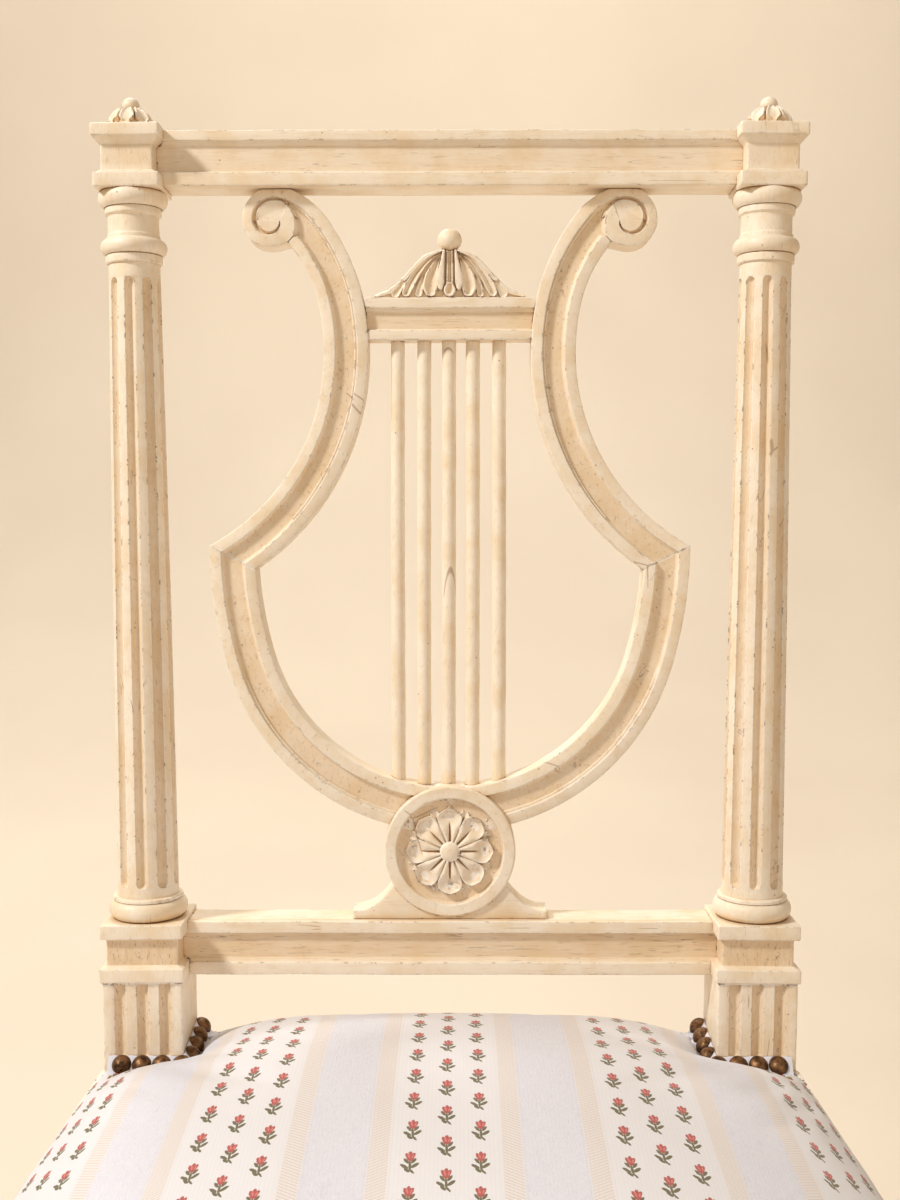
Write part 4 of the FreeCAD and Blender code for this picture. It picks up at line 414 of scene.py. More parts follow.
class Graph:
    """The nodes of one material."""

    def __init__(self, name: str) -> None:
        self.material = bpy.data.materials.new(name)
        self.material.use_nodes = True
        self.tree = self.material.node_tree
        self.tree.nodes.clear()
        self.shader = self.add("ShaderNodeBsdfPrincipled")
        output = self.add("ShaderNodeOutputMaterial")
        self.tree.links.new(self.shader.outputs[0], output.inputs[0])
        self._place: Field | None = None

    def add(self, kind: str, **settings: object) -> bpy.types.Node:
        """Add one node and set its options."""
        node = self.tree.nodes.new(kind)
        for name, value in settings.items():
            setattr(node, name, value)
        return node

    def feed(self, socket: bpy.types.NodeSocket, value: "Value | Colour") -> None:
        """Link a field to a socket, or set a plain number or colour on it."""
        if isinstance(value, Field):
            self.tree.links.new(value.socket, socket)
        elif isinstance(value, tuple):
            socket.default_value = (*value, 1.0) if len(socket.default_value) == 4 else value
        elif hasattr(socket.default_value, "__len__"):
            socket.default_value = (value,) * len(socket.default_value)
        else:
            socket.default_value = value

    def math(self, operation: str, a: Value, b: Value | None = None) -> Field:
        """One arithmetic step."""
        node = self.add("ShaderNodeMath", operation=operation)
        self.feed(node.inputs[0], a)
        if b is not None:
            self.feed(node.inputs[1], b)
        return Field(self, node.outputs[0])

    @property
    def place(self) -> Field:
        """Object coordinates in metres."""
        if self._place is None:
            self._place = Field(self, self.add("ShaderNodeTexCoord").outputs["Object"])
        return self._place

    def attribute(self, name: str, vector: bool = False) -> Field:
        """A value or vector stored on the mesh."""
        node = self.add("ShaderNodeAttribute", attribute_name=name)
        return Field(self, node.outputs["Vector" if vector else "Fac"])

    def moved(self, vector: Field, turn: tuple[float, float, float] = (0, 0, 0),
              scale: tuple[float, float, float] = (1, 1, 1), at: tuple[float, float, float] = (0, 0, 0),
              texture: bool = False) -> Field:
        """Turn, scale and shift a vector; as a texture, the inverse."""
        node = self.add("ShaderNodeMapping", vector_type="TEXTURE" if texture else "POINT")
        self.feed(node.inputs["Vector"], vector)
        node.inputs["Rotation"].default_value = turn
        node.inputs["Scale"].default_value = scale
        node.inputs["Location"].default_value = at
        return Field(self, node.outputs[0])

    def vector(self, operation: str, a: Field, b: "Field | Colour | None" = None) -> Field:
        """One step with vectors."""
        node = self.add("ShaderNodeVectorMath", operation=operation)
        self.feed(node.inputs[0], a)
        if b is not None:
            self.feed(node.inputs[1], b)
        short = operation in ("LENGTH", "DOT_PRODUCT", "DISTANCE")
        return Field(self, node.outputs["Value" if short else "Vector"])

    def joined(self, x: Value, y: Value, z: Value = 0.0) -> Field:
        """A vector from three values."""
        node = self.add("ShaderNodeCombineXYZ")
        for socket, value in zip(node.inputs, (x, y, z)):
            self.feed(socket, value)
        return Field(self, node.outputs[0])

    def noise(self, vector: Field, scale: float, detail: float = 3.0, roughness: float = 0.55,
              distortion: float = 0.0) -> Field:
        """Cloudy noise from 0 to 1."""
        node = self.add("ShaderNodeTexNoise")
        self.feed(node.inputs["Vector"], vector)
        for name, value in (("Scale", scale), ("Detail", detail), ("Roughness", roughness),
                            ("Distortion", distortion)):
            node.inputs[name].default_value = value
        return Field(self, node.outputs[0])

    def cells(self, vector: Field, scale: float, feature: str = "F1", output: str = "Distance") -> Field:
        """Cell pattern: distance to points or edges, or a colour per cell."""
        node = self.add("ShaderNodeTexVoronoi", feature=feature)
        self.feed(node.inputs["Vector"], vector)
        node.inputs["Scale"].default_value = scale
        return Field(self, node.outputs[output])

    def shade(self, distance: float, samples: int = 8, inside: bool = False) -> Field:
        """How open the surface is within a distance in metres, outside or inside the wood: 1 is free."""
        node = self.add("ShaderNodeAmbientOcclusion", samples=samples, inside=inside)
        node.inputs["Distance"].default_value = distance
        return Field(self, node.outputs["AO"])

    def rounded(self, radius: float, samples: int = 6) -> Field:
        """The normal as if arrises were rounded by a radius in metres."""
        node = self.add("ShaderNodeBevel", samples=samples)
        node.inputs["Radius"].default_value = radius
        return Field(self, node.outputs[0])

    def bump(self, height: Field, distance: float, strength: float = 1.0,
             normal: Field | None = None) -> Field:
        """A normal disturbed by a height."""
        node = self.add("ShaderNodeBump")
        self.feed(node.inputs["Height"], height)
        node.inputs["Distance"].default_value = distance
        node.inputs["Strength"].default_value = strength
        if normal is not None:
            self.feed(node.inputs["Normal"], normal)
        return Field(self, node.outputs[0])

    def mix(self, factor: Value, a: "Field | Colour", b: "Field | Colour") -> Field:
        """Blend two colours."""
        node = self.add("ShaderNodeMix", data_type="RGBA")
        self.feed(node.inputs[0], factor)
        self.feed(node.inputs[6], a)
        self.feed(node.inputs[7], b)
        return Field(self, node.outputs[2])

    def put(self, **inputs: "Value | Colour") -> "Graph":
        """Feed inputs of the surface by name, with underscores for spaces."""
        for name, value in inputs.items():
            self.feed(self.shader.inputs[name.replace("_", " ")], value)
        return self


class Grain(Enum):
    """The way the wood's fibres run, as the scale of its streaks along x, y and z."""

    UP = (1.0, 1.0, 0.07)
    ACROSS = (0.07, 1.0, 1.0)
    CARVED = (0.5, 1.0, 0.3)


@dataclass(frozen=True)
class AntiquePaint:
    """Cream paint with a tan glaze in hollows that is partly painted shade, brown lines of painted shade in
    corners, and arrises with painted highlights and rubbed chips.
    """

    cream: Colour = rgb(248, 238, 222)
    butter: Colour = rgb(240, 222, 194)
    # Tan of the glaze, used for streaks and for the glaze with painted shade in hollows.
    glaze: Colour = rgb(222, 190, 146)
    umber: Colour = rgb(166, 122, 74)
    # Brown of the painted shade lines in corners, and of specks, cracks and chip rims.
    line: Colour = rgb(142, 96, 52)
    # Near-white of the painted highlight on arrises.
    pale: Colour = rgb(254, 250, 242)
    wood: Colour = rgb(84, 54, 32)
    wear: float = 1.0

    def material(self, name: str, grain: Grain) -> bpy.types.Material:
        """Build the paint.

        Args:
            name: the material's name.
            grain: the way its streaks run.

        Returns:
            The finished material.
        """
        g = Graph(name)
        at = g.moved(g.place, turn=(-BACK.rake, 0, 0))
        along = g.moved(at, scale=grain.value)
        cloud = g.noise(at, 46, 4, 0.62)
        streak = g.noise(along, 560, 4, 0.72)
        rubbed = g.noise(along, 240, 5, 0.72)
        colour = g.mix(cloud.span(0.36, 0.7), self.cream, self.butter)
        colour = g.mix(streak.span(0.5, 0.78) * 0.4, colour, self.glaze)

        # Hollows take the tan colour: partly a real glaze, partly painted shade where the surface is closed
        # in within 8 mm or the mesh marks it sunk.
        sunk = g.attribute("glaze")
        open_wide = g.shade(0.008, 8)
        hollow = (open_wide.span(0.9, 0.45) * 0.6).most(sunk) * rubbed.span(0.25, 0.7, 0.55, 1.0)
        colour = g.mix(hollow * 0.85, colour, self.glaze)
        bare = g.noise(along, 900, 2, 0.6).span(0.56, 0.72)
        colour = g.mix(bare * sunk * 0.4, colour, self.umber)
        fleck = g.noise(g.moved(along, scale=(1.6, 1.0, 1.6)), 560, 3, 0.7)
        colour = g.mix(fleck.span(0.62, 0.7) * (hollow * 0.6 + 0.16), colour, self.wood)
        scratch = (g.noise(along, 120, 2, 0.5, 1.6) - 0.5).size().span(0.009, 0.003)
        scratch = scratch * g.noise(at, 70, 2).span(0.54, 0.62)
        colour = g.mix(scratch * (hollow * 0.45 + 0.16), colour, self.wood)

        # Painted shade: brown lines where the surface is closed in within about a millimetre, along inner
        # corners.
        tight = g.shade(0.0011, 8)
        corner = tight.span(0.78, 0.4) * rubbed.span(0.3, 0.58, 0.5, 1.0)
        colour = g.mix(corner * 0.75, colour, self.line)

        # Painted highlight: open convex arrises lightened towards near-white. The chips along them are wear.
        arris = g.shade(0.0011, 8, True)
        patch = g.noise(at, 190, 5, 0.75)
        edge_highlight = arris.span(0.95, 0.68) * open_wide.span(0.55, 0.85)
        colour = g.mix(edge_highlight * 0.85, colour, self.pale)
        rim = arris.span(0.99, 0.95) * arris.span(0.82, 0.9) * patch.span(0.5, 0.6)
        colour = g.mix(rim * 0.3, colour, self.line)
        chip = arris.span(0.88, 0.7) * patch.span(0.57, 0.6) * self.wear
        colour = g.mix(chip * 0.8, colour, self.wood)

        drift = g.joined(streak * 0.0006, cloud * 0.0009, streak * 0.0007)
        speck = g.cells(g.vector("ADD", at, drift), 150)
        spotted = speck.span(0.085, 0.05) * g.noise(at, 52, 2).span(0.5, 0.6)
        colour = g.mix(spotted * 0.75, colour, self.line)
        crack = g.cells(g.moved(along, scale=(1.0, 1.0, 1.6)), 22, "DISTANCE_TO_EDGE")
        split = crack.span(0.006, 0.002) * g.noise(at, 31, 2).span(0.6, 0.66)
        colour = g.mix(split * 0.5, colour, self.line)

        height = streak * 0.4 + rubbed * 0.35 + cloud * 0.5 - chip * 1.3 - spotted - split * 0.8
        normal = g.bump(height, 0.00026, 0.6, g.rounded(0.0007, 4))
        rough = rubbed.span(0.2, 0.8, 0.38, 0.54) + hollow * 0.14 + chip * 0.2
        g.put(Base_Color=colour, Roughness=rough, Normal=normal, Specular_IOR_Level=0.45)
        return g.material


@dataclass(frozen=True)
class BareWood:
    """Unpainted beech of braces and hidden faces."""

    light: Colour = rgb(196, 156, 108)
    dark: Colour = rgb(146, 104, 62)

    def material(self, name: str) -> bpy.types.Material:
        """Streaks of early and late wood with small pores."""
        g = Graph(name)
        along = g.moved(g.place, scale=(0.12, 1.0, 1.0))
        rings = g.noise(along, 130, 4, 0.6, 0.6)
        pores = g.noise(g.moved(g.place, scale=(0.05, 1.0, 1.0)), 1600, 2, 0.6)
        colour = g.mix(rings.span(0.3, 0.7), self.light, self.dark)
        colour = g.mix(pores.span(0.62, 0.72) * 0.6, colour, self.dark)
        g.put(Base_Color=colour, Roughness=rings.span(0.2, 0.8, 0.55, 0.72),
              Normal=g.bump(rings + pores * 0.5, 0.0003, 0.5, g.rounded(0.0008)))
        return g.material


@dataclass(frozen=True)
class Weave:
    """Plain woven cloth with threads each way: webbing or hessian."""

    light: Colour
    dark: Colour
    pitch: float
    relief: float = 0.0004

    def material(self, name: str) -> bpy.types.Material:
        """Threads as |sin| of x and y, one over the other in turn."""
        g = Graph(name)
        wobble = g.noise(g.place, 240, 3) * (self.pitch * 0.5)
        x = (g.place.part("X") + wobble) / self.pitch
        y = (g.place.part("Y") + wobble) / self.pitch
        weft = g.math("SINE", x * math.pi).size()
        warp = g.math("SINE", y * math.pi).size()
        over = g.math("SINE", x * (math.pi / 2)) * g.math("SINE", y * (math.pi / 2))
        height = weft * (0.6 + over * 0.4) + warp * (0.6 - over * 0.4)
        fuzz = g.noise(g.place, 2400, 2)
        colour = g.mix(height.span(0.3, 1.2), self.dark, self.light)
        colour = g.mix(fuzz.span(0.55, 0.8) * 0.4, colour, self.dark)
        g.put(Base_Color=colour, Roughness=fuzz.span(0, 1, 0.75, 0.95),
              Normal=g.bump(height + fuzz * 0.3, self.relief, 0.8))
        return g.material


@dataclass(frozen=True)
class Metal:
    """Steel or browned brass with tarnish and small marks."""

    bright: Colour
    tarnish: Colour
    rough: float
    metallic: float = 1.0

    def material(self, name: str) -> bpy.types.Material:
        """Two tones in clouds, darker in hollows."""
        g = Graph(name)
        cloud = g.noise(g.place, 260, 5, 0.65)
        marks = g.noise(g.place, 1700, 3, 0.7)
        shade = g.shade(0.004, 6)
        colour = g.mix(cloud.span(0.38, 0.66), self.bright, self.tarnish)
        colour = g.mix(shade.span(0.9, 0.4) * 0.7, colour, self.tarnish)
        g.put(Base_Color=colour, Metallic=self.metallic,
              Roughness=marks.span(0.3, 0.8, self.rough, self.rough + 0.2),
              Normal=g.bump(marks + cloud, 0.0003, 0.35))
        return g.material


Oval = tuple[float, float, float, float, float]
BUD: tuple[Oval, ...] = ((0.1, 4.4, 1.75, 3.2, 0), (-1.2, 5.2, 0.9, 2.3, 14), (1.4, 5.4, 0.9, 2.2, -14),
                         (0.1, 7.4, 0.8, 1.3, 0))
BUD_LIGHT: tuple[Oval, ...] = ((-0.5, 5.2, 0.5, 1.9, 10), (1.2, 4.8, 0.45, 1.5, -12))
LEAVES: tuple[Oval, ...] = ((-1.6, 1.4, 0.8, 2.2, 26), (1.7, 1.5, 0.8, 2.2, -26), (-2.4, -2.6, 1.0, 2.4, 46),
                            (2.3, -1.9, 1.0, 2.5, -40), (0.1, -2.2, 0.6, 4.0, 2),
                            (1.0, -6.4, 0.6, 2.0, 30),
                            (-1.2, -5.4, 0.9, 2.0, 34))


@dataclass(frozen=True)
class RosebudStripe:
    """Cream silk-and-cotton cloth with rosebud columns between woven twill stripes."""

    ground: Colour = rgb(229, 232, 246)
    ivory: Colour = rgb(235, 236, 244)
    twill: Colour = rgb(222, 206, 194)
    moire: Colour = rgb(206, 206, 224)
    bud: Colour = rgb(174, 62, 62)
    bud_light: Colour = rgb(216, 116, 108)
    leaf: Colour = rgb(72, 68, 38)
    leaf_light: Colour = rgb(126, 118, 70)
    repeat: float = 97.0
    column: float = 15.4
    pitch: float = 25.4
    twill_middle: float = 29.7
    twill_half: float = 4.3
    middle: float = -0.8
    stagger: float = 4.0

    def ovals(self, g: Graph, spot: Field, group: tuple[Oval, ...]) -> Field:
        """Several ovals of the motif together: 1 inside and 0 outside.

        Args:
            g: the material's nodes.
            spot: place in the motif's own millimetres.
            group: x, y, half width, half height and turn in degrees of each oval.

        Returns:
            The largest of the ovals at each place.
        """
        whole = None
        for x, y, across, along, turn in group:
            near = g.moved(spot, (0, 0, math.radians(turn)), (across, along, 1.0), (x, y, 0.0), True)
            oval = g.vector("LENGTH", near).span(1.12, 0.88)
            whole = oval if whole is None else whole.most(oval)
        return whole

    def material(self, name: str) -> bpy.types.Material:
        """Build the cloth from its flat pattern coordinates, in millimetres.

        Args:
            name: the material's name.

        Returns:
            The material, which reads the vector attribute "cloth".
        """
        g = Graph(name)
        cloth = g.attribute("cloth", True)
        u, v = cloth.part("X"), cloth.part("Y")
        ragged = g.noise(cloth, 1.1, 2, 0.6)
        jitter = (ragged - 0.5) * 0.9
        across = u - self.middle
        group = (across / self.repeat).whole()
        local = across - group * self.repeat
        lane = (local / self.column).whole().most(-1.0).least(1.0)
        centre_lane = 1.0 - lane.size()
        shifted = v + centre_lane * (self.pitch / 2) - self.stagger
        row = (shifted / self.pitch).whole()
        hand = Field(g, g.add("ShaderNodeTexWhiteNoise", noise_dimensions="3D").outputs["Value"])
        g.feed(hand.socket.node.inputs["Vector"], g.joined(lane, row, group))
        a = local - lane * self.column + (hand - 0.5) * 0.8 + jitter
        b = shifted - row * self.pitch + jitter * 0.8
        spot = g.joined(a, b)
        bud = self.ovals(g, spot, BUD)
        bright = self.ovals(g, spot, BUD_LIGHT)
        leaf = self.ovals(g, spot, LEAVES)
        fine = g.noise(cloth, 2.6, 2, 0.6)

        band = (local.size() - self.twill_middle).size()
        stripe = band.span(self.twill_half + 0.4, self.twill_half - 0.3)
        slant = g.math("SINE", (v + local.size() * 0.6) * (2 * math.pi / 2.2) + jitter * 1.2)
        thread = slant.span(0.1, 0.8) * stripe
        edge = (band - self.twill_half - 1.0).size().span(0.6, 0.2)
        outer = local.size().span(self.twill_middle + 4.0, self.twill_middle + 5.0)
        wave = g.noise(g.moved(cloth, scale=(0.3, 0.045, 1.0)), 1.0, 3, 0.6, 1.6)
        lines = g.math("SINE", wave * 60.0).span(-0.2, 1.0)
        rib = g.math("SINE", local * (2 * math.pi / 1.9)).span(0.2, 1.0)
        colour = g.mix(outer, self.ivory, self.ground)
        colour = g.mix(lines * outer * 0.42, colour, self.moire)
        colour = g.mix(rib * (1.0 - outer) * 0.1, colour, self.moire)
        colour = g.mix(thread * 0.6 + stripe * 0.16, colour, self.twill)
        colour = g.mix(edge * 0.12, colour, self.twill)
        flower = g.mix((bright + fine.span(0.45, 0.7) * 0.4).least(1.0), self.bud, self.bud_light)
        green = g.mix(fine.span(0.4, 0.65), self.leaf, self.leaf_light)
        worked = (fine * 0.3 + 0.78).least(1.0)
        colour = g.mix(leaf * worked, colour, green)
        colour = g.mix(bud * worked, colour, flower)

        warp = g.math("SINE", u * (2 * math.pi / 0.42))
        weft = g.math("SINE", v * (2 * math.pi / 0.42))
        cloud = g.noise(g.place, 60, 3)
        height = (warp + weft) * 0.10 + thread * 0.35 + bud * 0.5 + leaf * 0.45 + fine * 0.25 + rib * 0.1
        silk = rib * 0.06 + lines * outer * 0.12
        g.put(Base_Color=colour, Roughness=cloud.span(0.2, 0.8, 0.66, 0.78) - silk, Sheen_Weight=0.25,
              Sheen_Roughness=0.4, Normal=g.bump(height, 0.00035, 0.6), Specular_IOR_Level=0.35)
        return g.material


@dataclass
class Finishes:
    """Every finish that the pieces take."""

    upright: bpy.types.Material = field(default_factory=lambda: AntiquePaint(
        wear=0.8).material("paint_upright", Grain.UP))
    level: bpy.types.Material = field(default_factory=lambda: AntiquePaint().material(
        "paint_level", Grain.ACROSS))
    carved: bpy.types.Material = field(default_factory=lambda: AntiquePaint(
        wear=0.7).material("paint_carved", Grain.CARVED))
    wood: bpy.types.Material = field(default_factory=lambda: BareWood().material("bare_wood_look"))
    steel: bpy.types.Material = field(default_factory=lambda: Metal(
        rgb(188, 184, 176), rgb(96, 88, 78), 0.35).material("steel_look"))
    bronze: bpy.types.Material = field(default_factory=lambda: Metal(
        rgb(142, 106, 74), rgb(64, 44, 28), 0.36, 0.8).material("nail_look"))
    jute: bpy.types.Material = field(default_factory=lambda: Weave(
        rgb(190, 160, 112), rgb(120, 92, 58), 0.0026, 0.0006).material("jute_look"))
    hessian: bpy.types.Material = field(default_factory=lambda: Weave(
        rgb(196, 168, 122), rgb(104, 80, 50), 0.0018).material("hessian_look"))
    cloth: bpy.types.Material = field(default_factory=lambda: RosebudStripe().material("rosebud_stripe"))


# Turned and moulded work

FLUTE_STEPS = np.array([-1.0, -0.96, -0.86, -0.68, -0.42, -0.14, 0.14, 0.42, 0.68, 0.86, 0.96, 1.0])


def bulge(inner: float, outer: float, low: float, high: float) -> list[tuple[float, float, float]]:
    """Radius, level and corner radius along half an ellipse that swells from inner to outer."""
    turn = np.linspace(-math.pi / 2, math.pi / 2, 15)
    middle, half = (low + high) / 2, (high - low) / 2
    return [(inner + (outer - inner) * math.cos(t), middle + half * math.sin(t), 0.0)
            for t in turn.tolist()]


@dataclass(frozen=True)
class Flutes:
    """Round-ended hollows cut along a surface between two levels."""

    low: float
    high: float
    low_radius: float
    high_radius: float
    round_top: bool = True

    def radius(self, z: Array) -> Array:
        """Half the hollow's width at each level."""
        part = np.clip((z - self.low) / (self.high - self.low), 0, 1)
        return self.low_radius + (self.high_radius - self.low_radius) * part

    def opening(self, z: Array) -> Array:
        """Share of the full width: 1 along the hollow, sqrt(1 - d^2) in its round ends."""
        radius = self.radius(z)
        below = np.clip((self.low + radius - z) / radius, 0, None)
        if self.round_top:
            above = np.clip((z - self.high + radius) / radius, 0, None)
        else:
            above = np.where(z > self.high + 1e-6, 2.0, 0.0)
        return np.sqrt(np.clip(1 - np.maximum(below, above) ** 2, 0, None))

    def levels(self, spacing: float) -> Array:
        """Levels along the hollow, crowded at its round ends."""
        ease = 1 - np.cos(np.linspace(0, math.pi / 2, 9))
        low = self.low + self.low_radius * ease
        count = int((self.high - self.low) / spacing)
        if not self.round_top:
            return np.concatenate([low, np.linspace(low[-1], self.high, count)[1:]])
        high = self.high - self.high_radius * ease[::-1]
        return np.concatenate([low, np.linspace(low[-1], high[0], count)[1:-1], high])


def fluted_column(profile: Array, flutes: Flutes, count: int, turn: float) -> tuple[Array, Array]:
    """A turned column with hollows.

    Args:
        profile: rows of radius and level, from the bottom up, mm.
        flutes: the hollows.
        count: how many there are round the column.
        turn: degrees that they are turned from the front.

    Returns:
        Points and their share of glaze and painted shade, more where the hollows are deeper. A point at
        share t of a hollow has the radius
        R - f sqrt(w^2 - t^2), with f the hollow's radius and w its opening.
    """
    radius, z = profile[:, 0], profile[:, 1]
    opening, cut = flutes.opening(z), flutes.radius(z)
    fluted = (z > flutes.low) & (z < flutes.high)
    half = np.arcsin(np.clip(cut / np.maximum(radius, cut + 1), 0, 1))
    width = half * np.where(fluted, np.maximum(opening, 0.3), 1.0)
    land = np.array([0.1, 0.5, 0.9])
    pitch = 2 * math.pi / count
    share = width[:, None] * FLUTE_STEPS
    between = width[:, None] + (pitch - 2 * width[:, None]) * land
    one = np.concatenate([share, between], 1)
    t = np.concatenate([share / half[:, None], np.full_like(between, 2.0)], 1)
    depth = cut[:, None] * np.sqrt(np.clip(opening[:, None] ** 2 - t ** 2, 0, None))
    depth = np.where(fluted[:, None], depth, 0.0)
    angles = (one[:, None, :] + pitch * np.arange(count)[None, :, None]).reshape(len(z), -1)
    angles += math.radians(turn)
    away = radius[:, None] - np.tile(depth, (1, count))
    level = np.broadcast_to(z[:, None], away.shape)
    points = np.stack([away * np.sin(angles), -away * np.cos(angles), level], -1)
    return points, np.tile(np.clip(depth / 1.6, 0, 1), (1, count)) * 0.45


def turned(profile: Array, count: int = 72) -> Array:
    """Points of a plain turned shape from rows of radius and level."""
    angles = np.linspace(0, 2 * math.pi, count, endpoint=False)
    r, z = profile[:, :1], profile[:, 1:]
    return np.stack([r * np.sin(angles), -r * np.cos(angles), z + 0 * angles], -1)


def square_rings(widths: Array, depths: Array, corner: float, front: Array) -> Array:
    """Rings round rectangles with rounded corners.

    Args:
        widths: half width of each ring, mm.
        depths: half depth of each ring, mm.
        corner: radius of the corners, mm.
        front: places along the front side from -1 to 1.

    Returns:
        For every ring the points (W - c) S + c N, with S on a square and N its normal.
    """
    sweep = np.linspace(0, math.pi / 2, 5)[1:-1]
    square, normal = [], []
    plain = np.linspace(-1, 1, 9)
    for quarter, places in enumerate((front, plain, plain, plain)):
        angle = quarter * math.pi / 2
        turn = np.array([[math.cos(angle), math.sin(angle)], [-math.sin(angle), math.cos(angle)]])
        square.append(np.stack([places, -np.ones_like(places)], -1) @ turn)
        normal.append(np.tile([0.0, -1.0], (len(places), 1)) @ turn)
        square.append(np.tile([1.0, -1.0], (len(sweep), 1)) @ turn)
        normal.append(np.stack([np.sin(sweep), -np.cos(sweep)], -1) @ turn)
    s, n = np.vstack(square), np.vstack(normal)
    c = np.minimum(corner, np.minimum(widths, depths))[:, None]
    return np.stack([(widths[:, None] - c) * s[:, 0] + c * n[:, 0],
                     (depths[:, None] - c) * s[:, 1] + c * n[:, 1]], -1)


@dataclass
class RearPost:
    """One rear post from the floor to its cap, in one timber."""

    side: Side
    finish: bpy.types.Material
    stile: float = 22.6
    joint_depth: float = 22.82
    foot: float = 14.0
    rail_bottom: float = 368.0
    setback: float = 44.0
    curve: float = 1.35
    flute_half: float = 3.35
    flute_pitch: float = 12.8
    low_glaze: float = 0.85
    top_glaze: float = 0.3

    def column(self) -> tuple[Array, Array]:
        """The turned column with its base, rings and cushion."""
        ring = [(0, 0.0), (17.5, 0.0), *bulge(17.5, 22.4, -0.2, 11.2), (19.7, 10.9, 0.2), (19.9, 11.2, 0.4),
                (19.9, 12.8, 0.6), (17.45, 13.4, 0.8)]
        capital = [(14.4, 373.3, 0.6), (15.9, 373.8, 0.5), (15.9, 377.9, 0.5), (15.4, 378.4, 0.2),
                   *bulge(15.2, 18.6, 378.5, 387.2), (14.95, 387.6, 0.2), (14.95, 389.4, 0.5),
                   (14.3, 390.2, 0.8), (14.3, 400.2, 1.2), (15.8, 401.1, 0.5), (15.8, 404.6, 0.5),
                   (15.2, 405.2, 0.2),
                   *bulge(14.0, 19.4, 404.2, 415.6)[2:-2], (0, 415.4)]
        low, high = soften(ring, 0.4, False, 4), soften(capital, 0.4, False, 4)
        flutes = Flutes(18.8, 365.2, 3.15, 2.8)
        middle = np.concatenate([[15.0, 17.5], flutes.levels(9.0), [367.0, 370.5]])
        part = (middle - 13.4) / 360.0
        shaft = np.stack([17.4 - 3.0 * part + 0.35 * np.sin(math.pi * part), middle], -1)
        turn = -6.0 if self.side is Side.RIGHT else 0.0
        return fluted_column(np.vstack([low, shaft, high]), flutes, 9, turn)

    def front_places(self) -> Array:
        """Places across the front side that follow the stile's three hollows."""
        reach = self.stile - 0.8
        hollows = [(self.flute_pitch * k + self.flute_half * FLUTE_STEPS) / reach for k in (-1, 0, 1)]
        return np.unique(np.concatenate([[-1.0, -0.87], *hollows, [0.87, 1.0]]))

    def hollow(self, rings: Array, z: Array) -> tuple[Array, Array]:
        """Press the three hollows into the front side of leaned rings."""
        flutes = Flutes(-77.4, -32.9, self.flute_half, self.flute_half, False)
        x = rings[..., 0]
        share = np.abs(x[..., None] - self.flute_pitch * np.array([-1, 0, 1])).min(-1) / self.flute_half
        opening = flutes.opening(z)[:, None]
        front = rings[..., 1] < -self.stile + 0.4
        depth = np.where(front, 2.9 * np.sqrt(np.clip(opening ** 2 - share ** 2, 0, None)), 0.0)
        rings[..., 1] += depth
        return rings, np.clip(depth / 1.2, 0, 1)

    def blocks(self, shell: Shell) -> None:
        """The moulded blocks under and over the column, and the stile's top."""
        low = [(self.stile, -34.0), (self.stile, -33.1, 0.2), (24.0, -32.8, 0.7), (24.0, -25.2, 0.7),
               (22.6, -24.9, 0.3), (20.5, -23.9, 0.3), (20.3, -23.4, 0.4), (20.3, -9.4, 0.4),
               (20.9, -8.8, 0.3), (21.4, -8.3, 0.2),
               (23.4, -8.1, 0.6), (23.4, -0.1, 0.7), (10.0, 0.0), (0.5, 0.0)]
        top = [(0.5, 413.8), (12.0, 413.8), (18.5, 413.8, 0.9), (18.5, 421.9, 0.9), (16.2, 422.0, 0.3),
               (16.0, 423.1, 0.4), (14.7, 423.6, 0.3), (14.65, 437.6, 0.3), (15.3, 438.4, 1.2),
               (17.6, 440.6, 1.6), (18.2, 441.5, 0.3),
               (19.1, 441.8, 0.8), (19.1, 448.7, 1.2), (8.0, 448.9), (0.5, 448.9)]
        for corners, radius in ((low, 0.9), (top, 1.1)):
            line = divide(soften(corners, 0.4, False, 3), 4.0)
            rings = square_rings(line[:, 0], line[:, 0], radius, self.front_places())
            z = np.broadcast_to(line[:, 1, None], rings.shape[:2])
            height = line[:, 1]
            # Tan glaze with painted shade on the sunk faces of the lower block and the top block.
            sunk = (((height > -23.6) & (height < -9.2)) * self.low_glaze
                    + ((height > 424) & (height < 437.5)) * self.top_glaze)
            points = np.concatenate([rings, z[..., None]], -1)
            shell.grid(BACK.post(points, self.side), sunk[:, None], wrap=True, caps=True)

    def leg(self, shell: Shell) -> None:
        """The fluted stile, the part behind the seat rails and the leg swept back to the floor."""
        part = np.concatenate([[1.0], np.linspace(1.0, 0.0, 26) ** 0.8])
        width = self.stile + (self.foot - self.stile) * part
        depth = self.joint_depth + (self.foot - self.joint_depth) * part
        width[0] -= 1.2
        depth[0] -= 1.2
        height = self.rail_bottom * (1 - part)
        height[1] = 1.2
        front = self.front_places()
        low = square_rings(width, depth, 1.2, front)
        x = low[..., 0] + self.side.value * BACK.post_seat_x
        y = low[..., 1] + BACK.depth + self.setback * part[:, None] ** self.curve
        leg = np.stack([x, y, np.broadcast_to(height[:, None], x.shape)], -1)
        joint = leg[-1:].repeat(2, 0)
        joint[:, :, 2] = np.array([[399.0], [424.0]])
        hollows = Flutes(-77.4, -32.9, self.flute_half, self.flute_half, False)
        z = np.concatenate([[-83.0, -79.0], hollows.levels(6.0), [-31.0]])
        full = np.full(len(z), self.stile)
        rings = np.concatenate([square_rings(full, full, 0.9, front),
                                np.broadcast_to(z[:, None, None], (len(z), len(x[0]), 1))], -1)
        rings, sunk = self.hollow(rings, z)
        upper = BACK.post(rings, self.side)
        points = np.concatenate([leg, joint, upper])
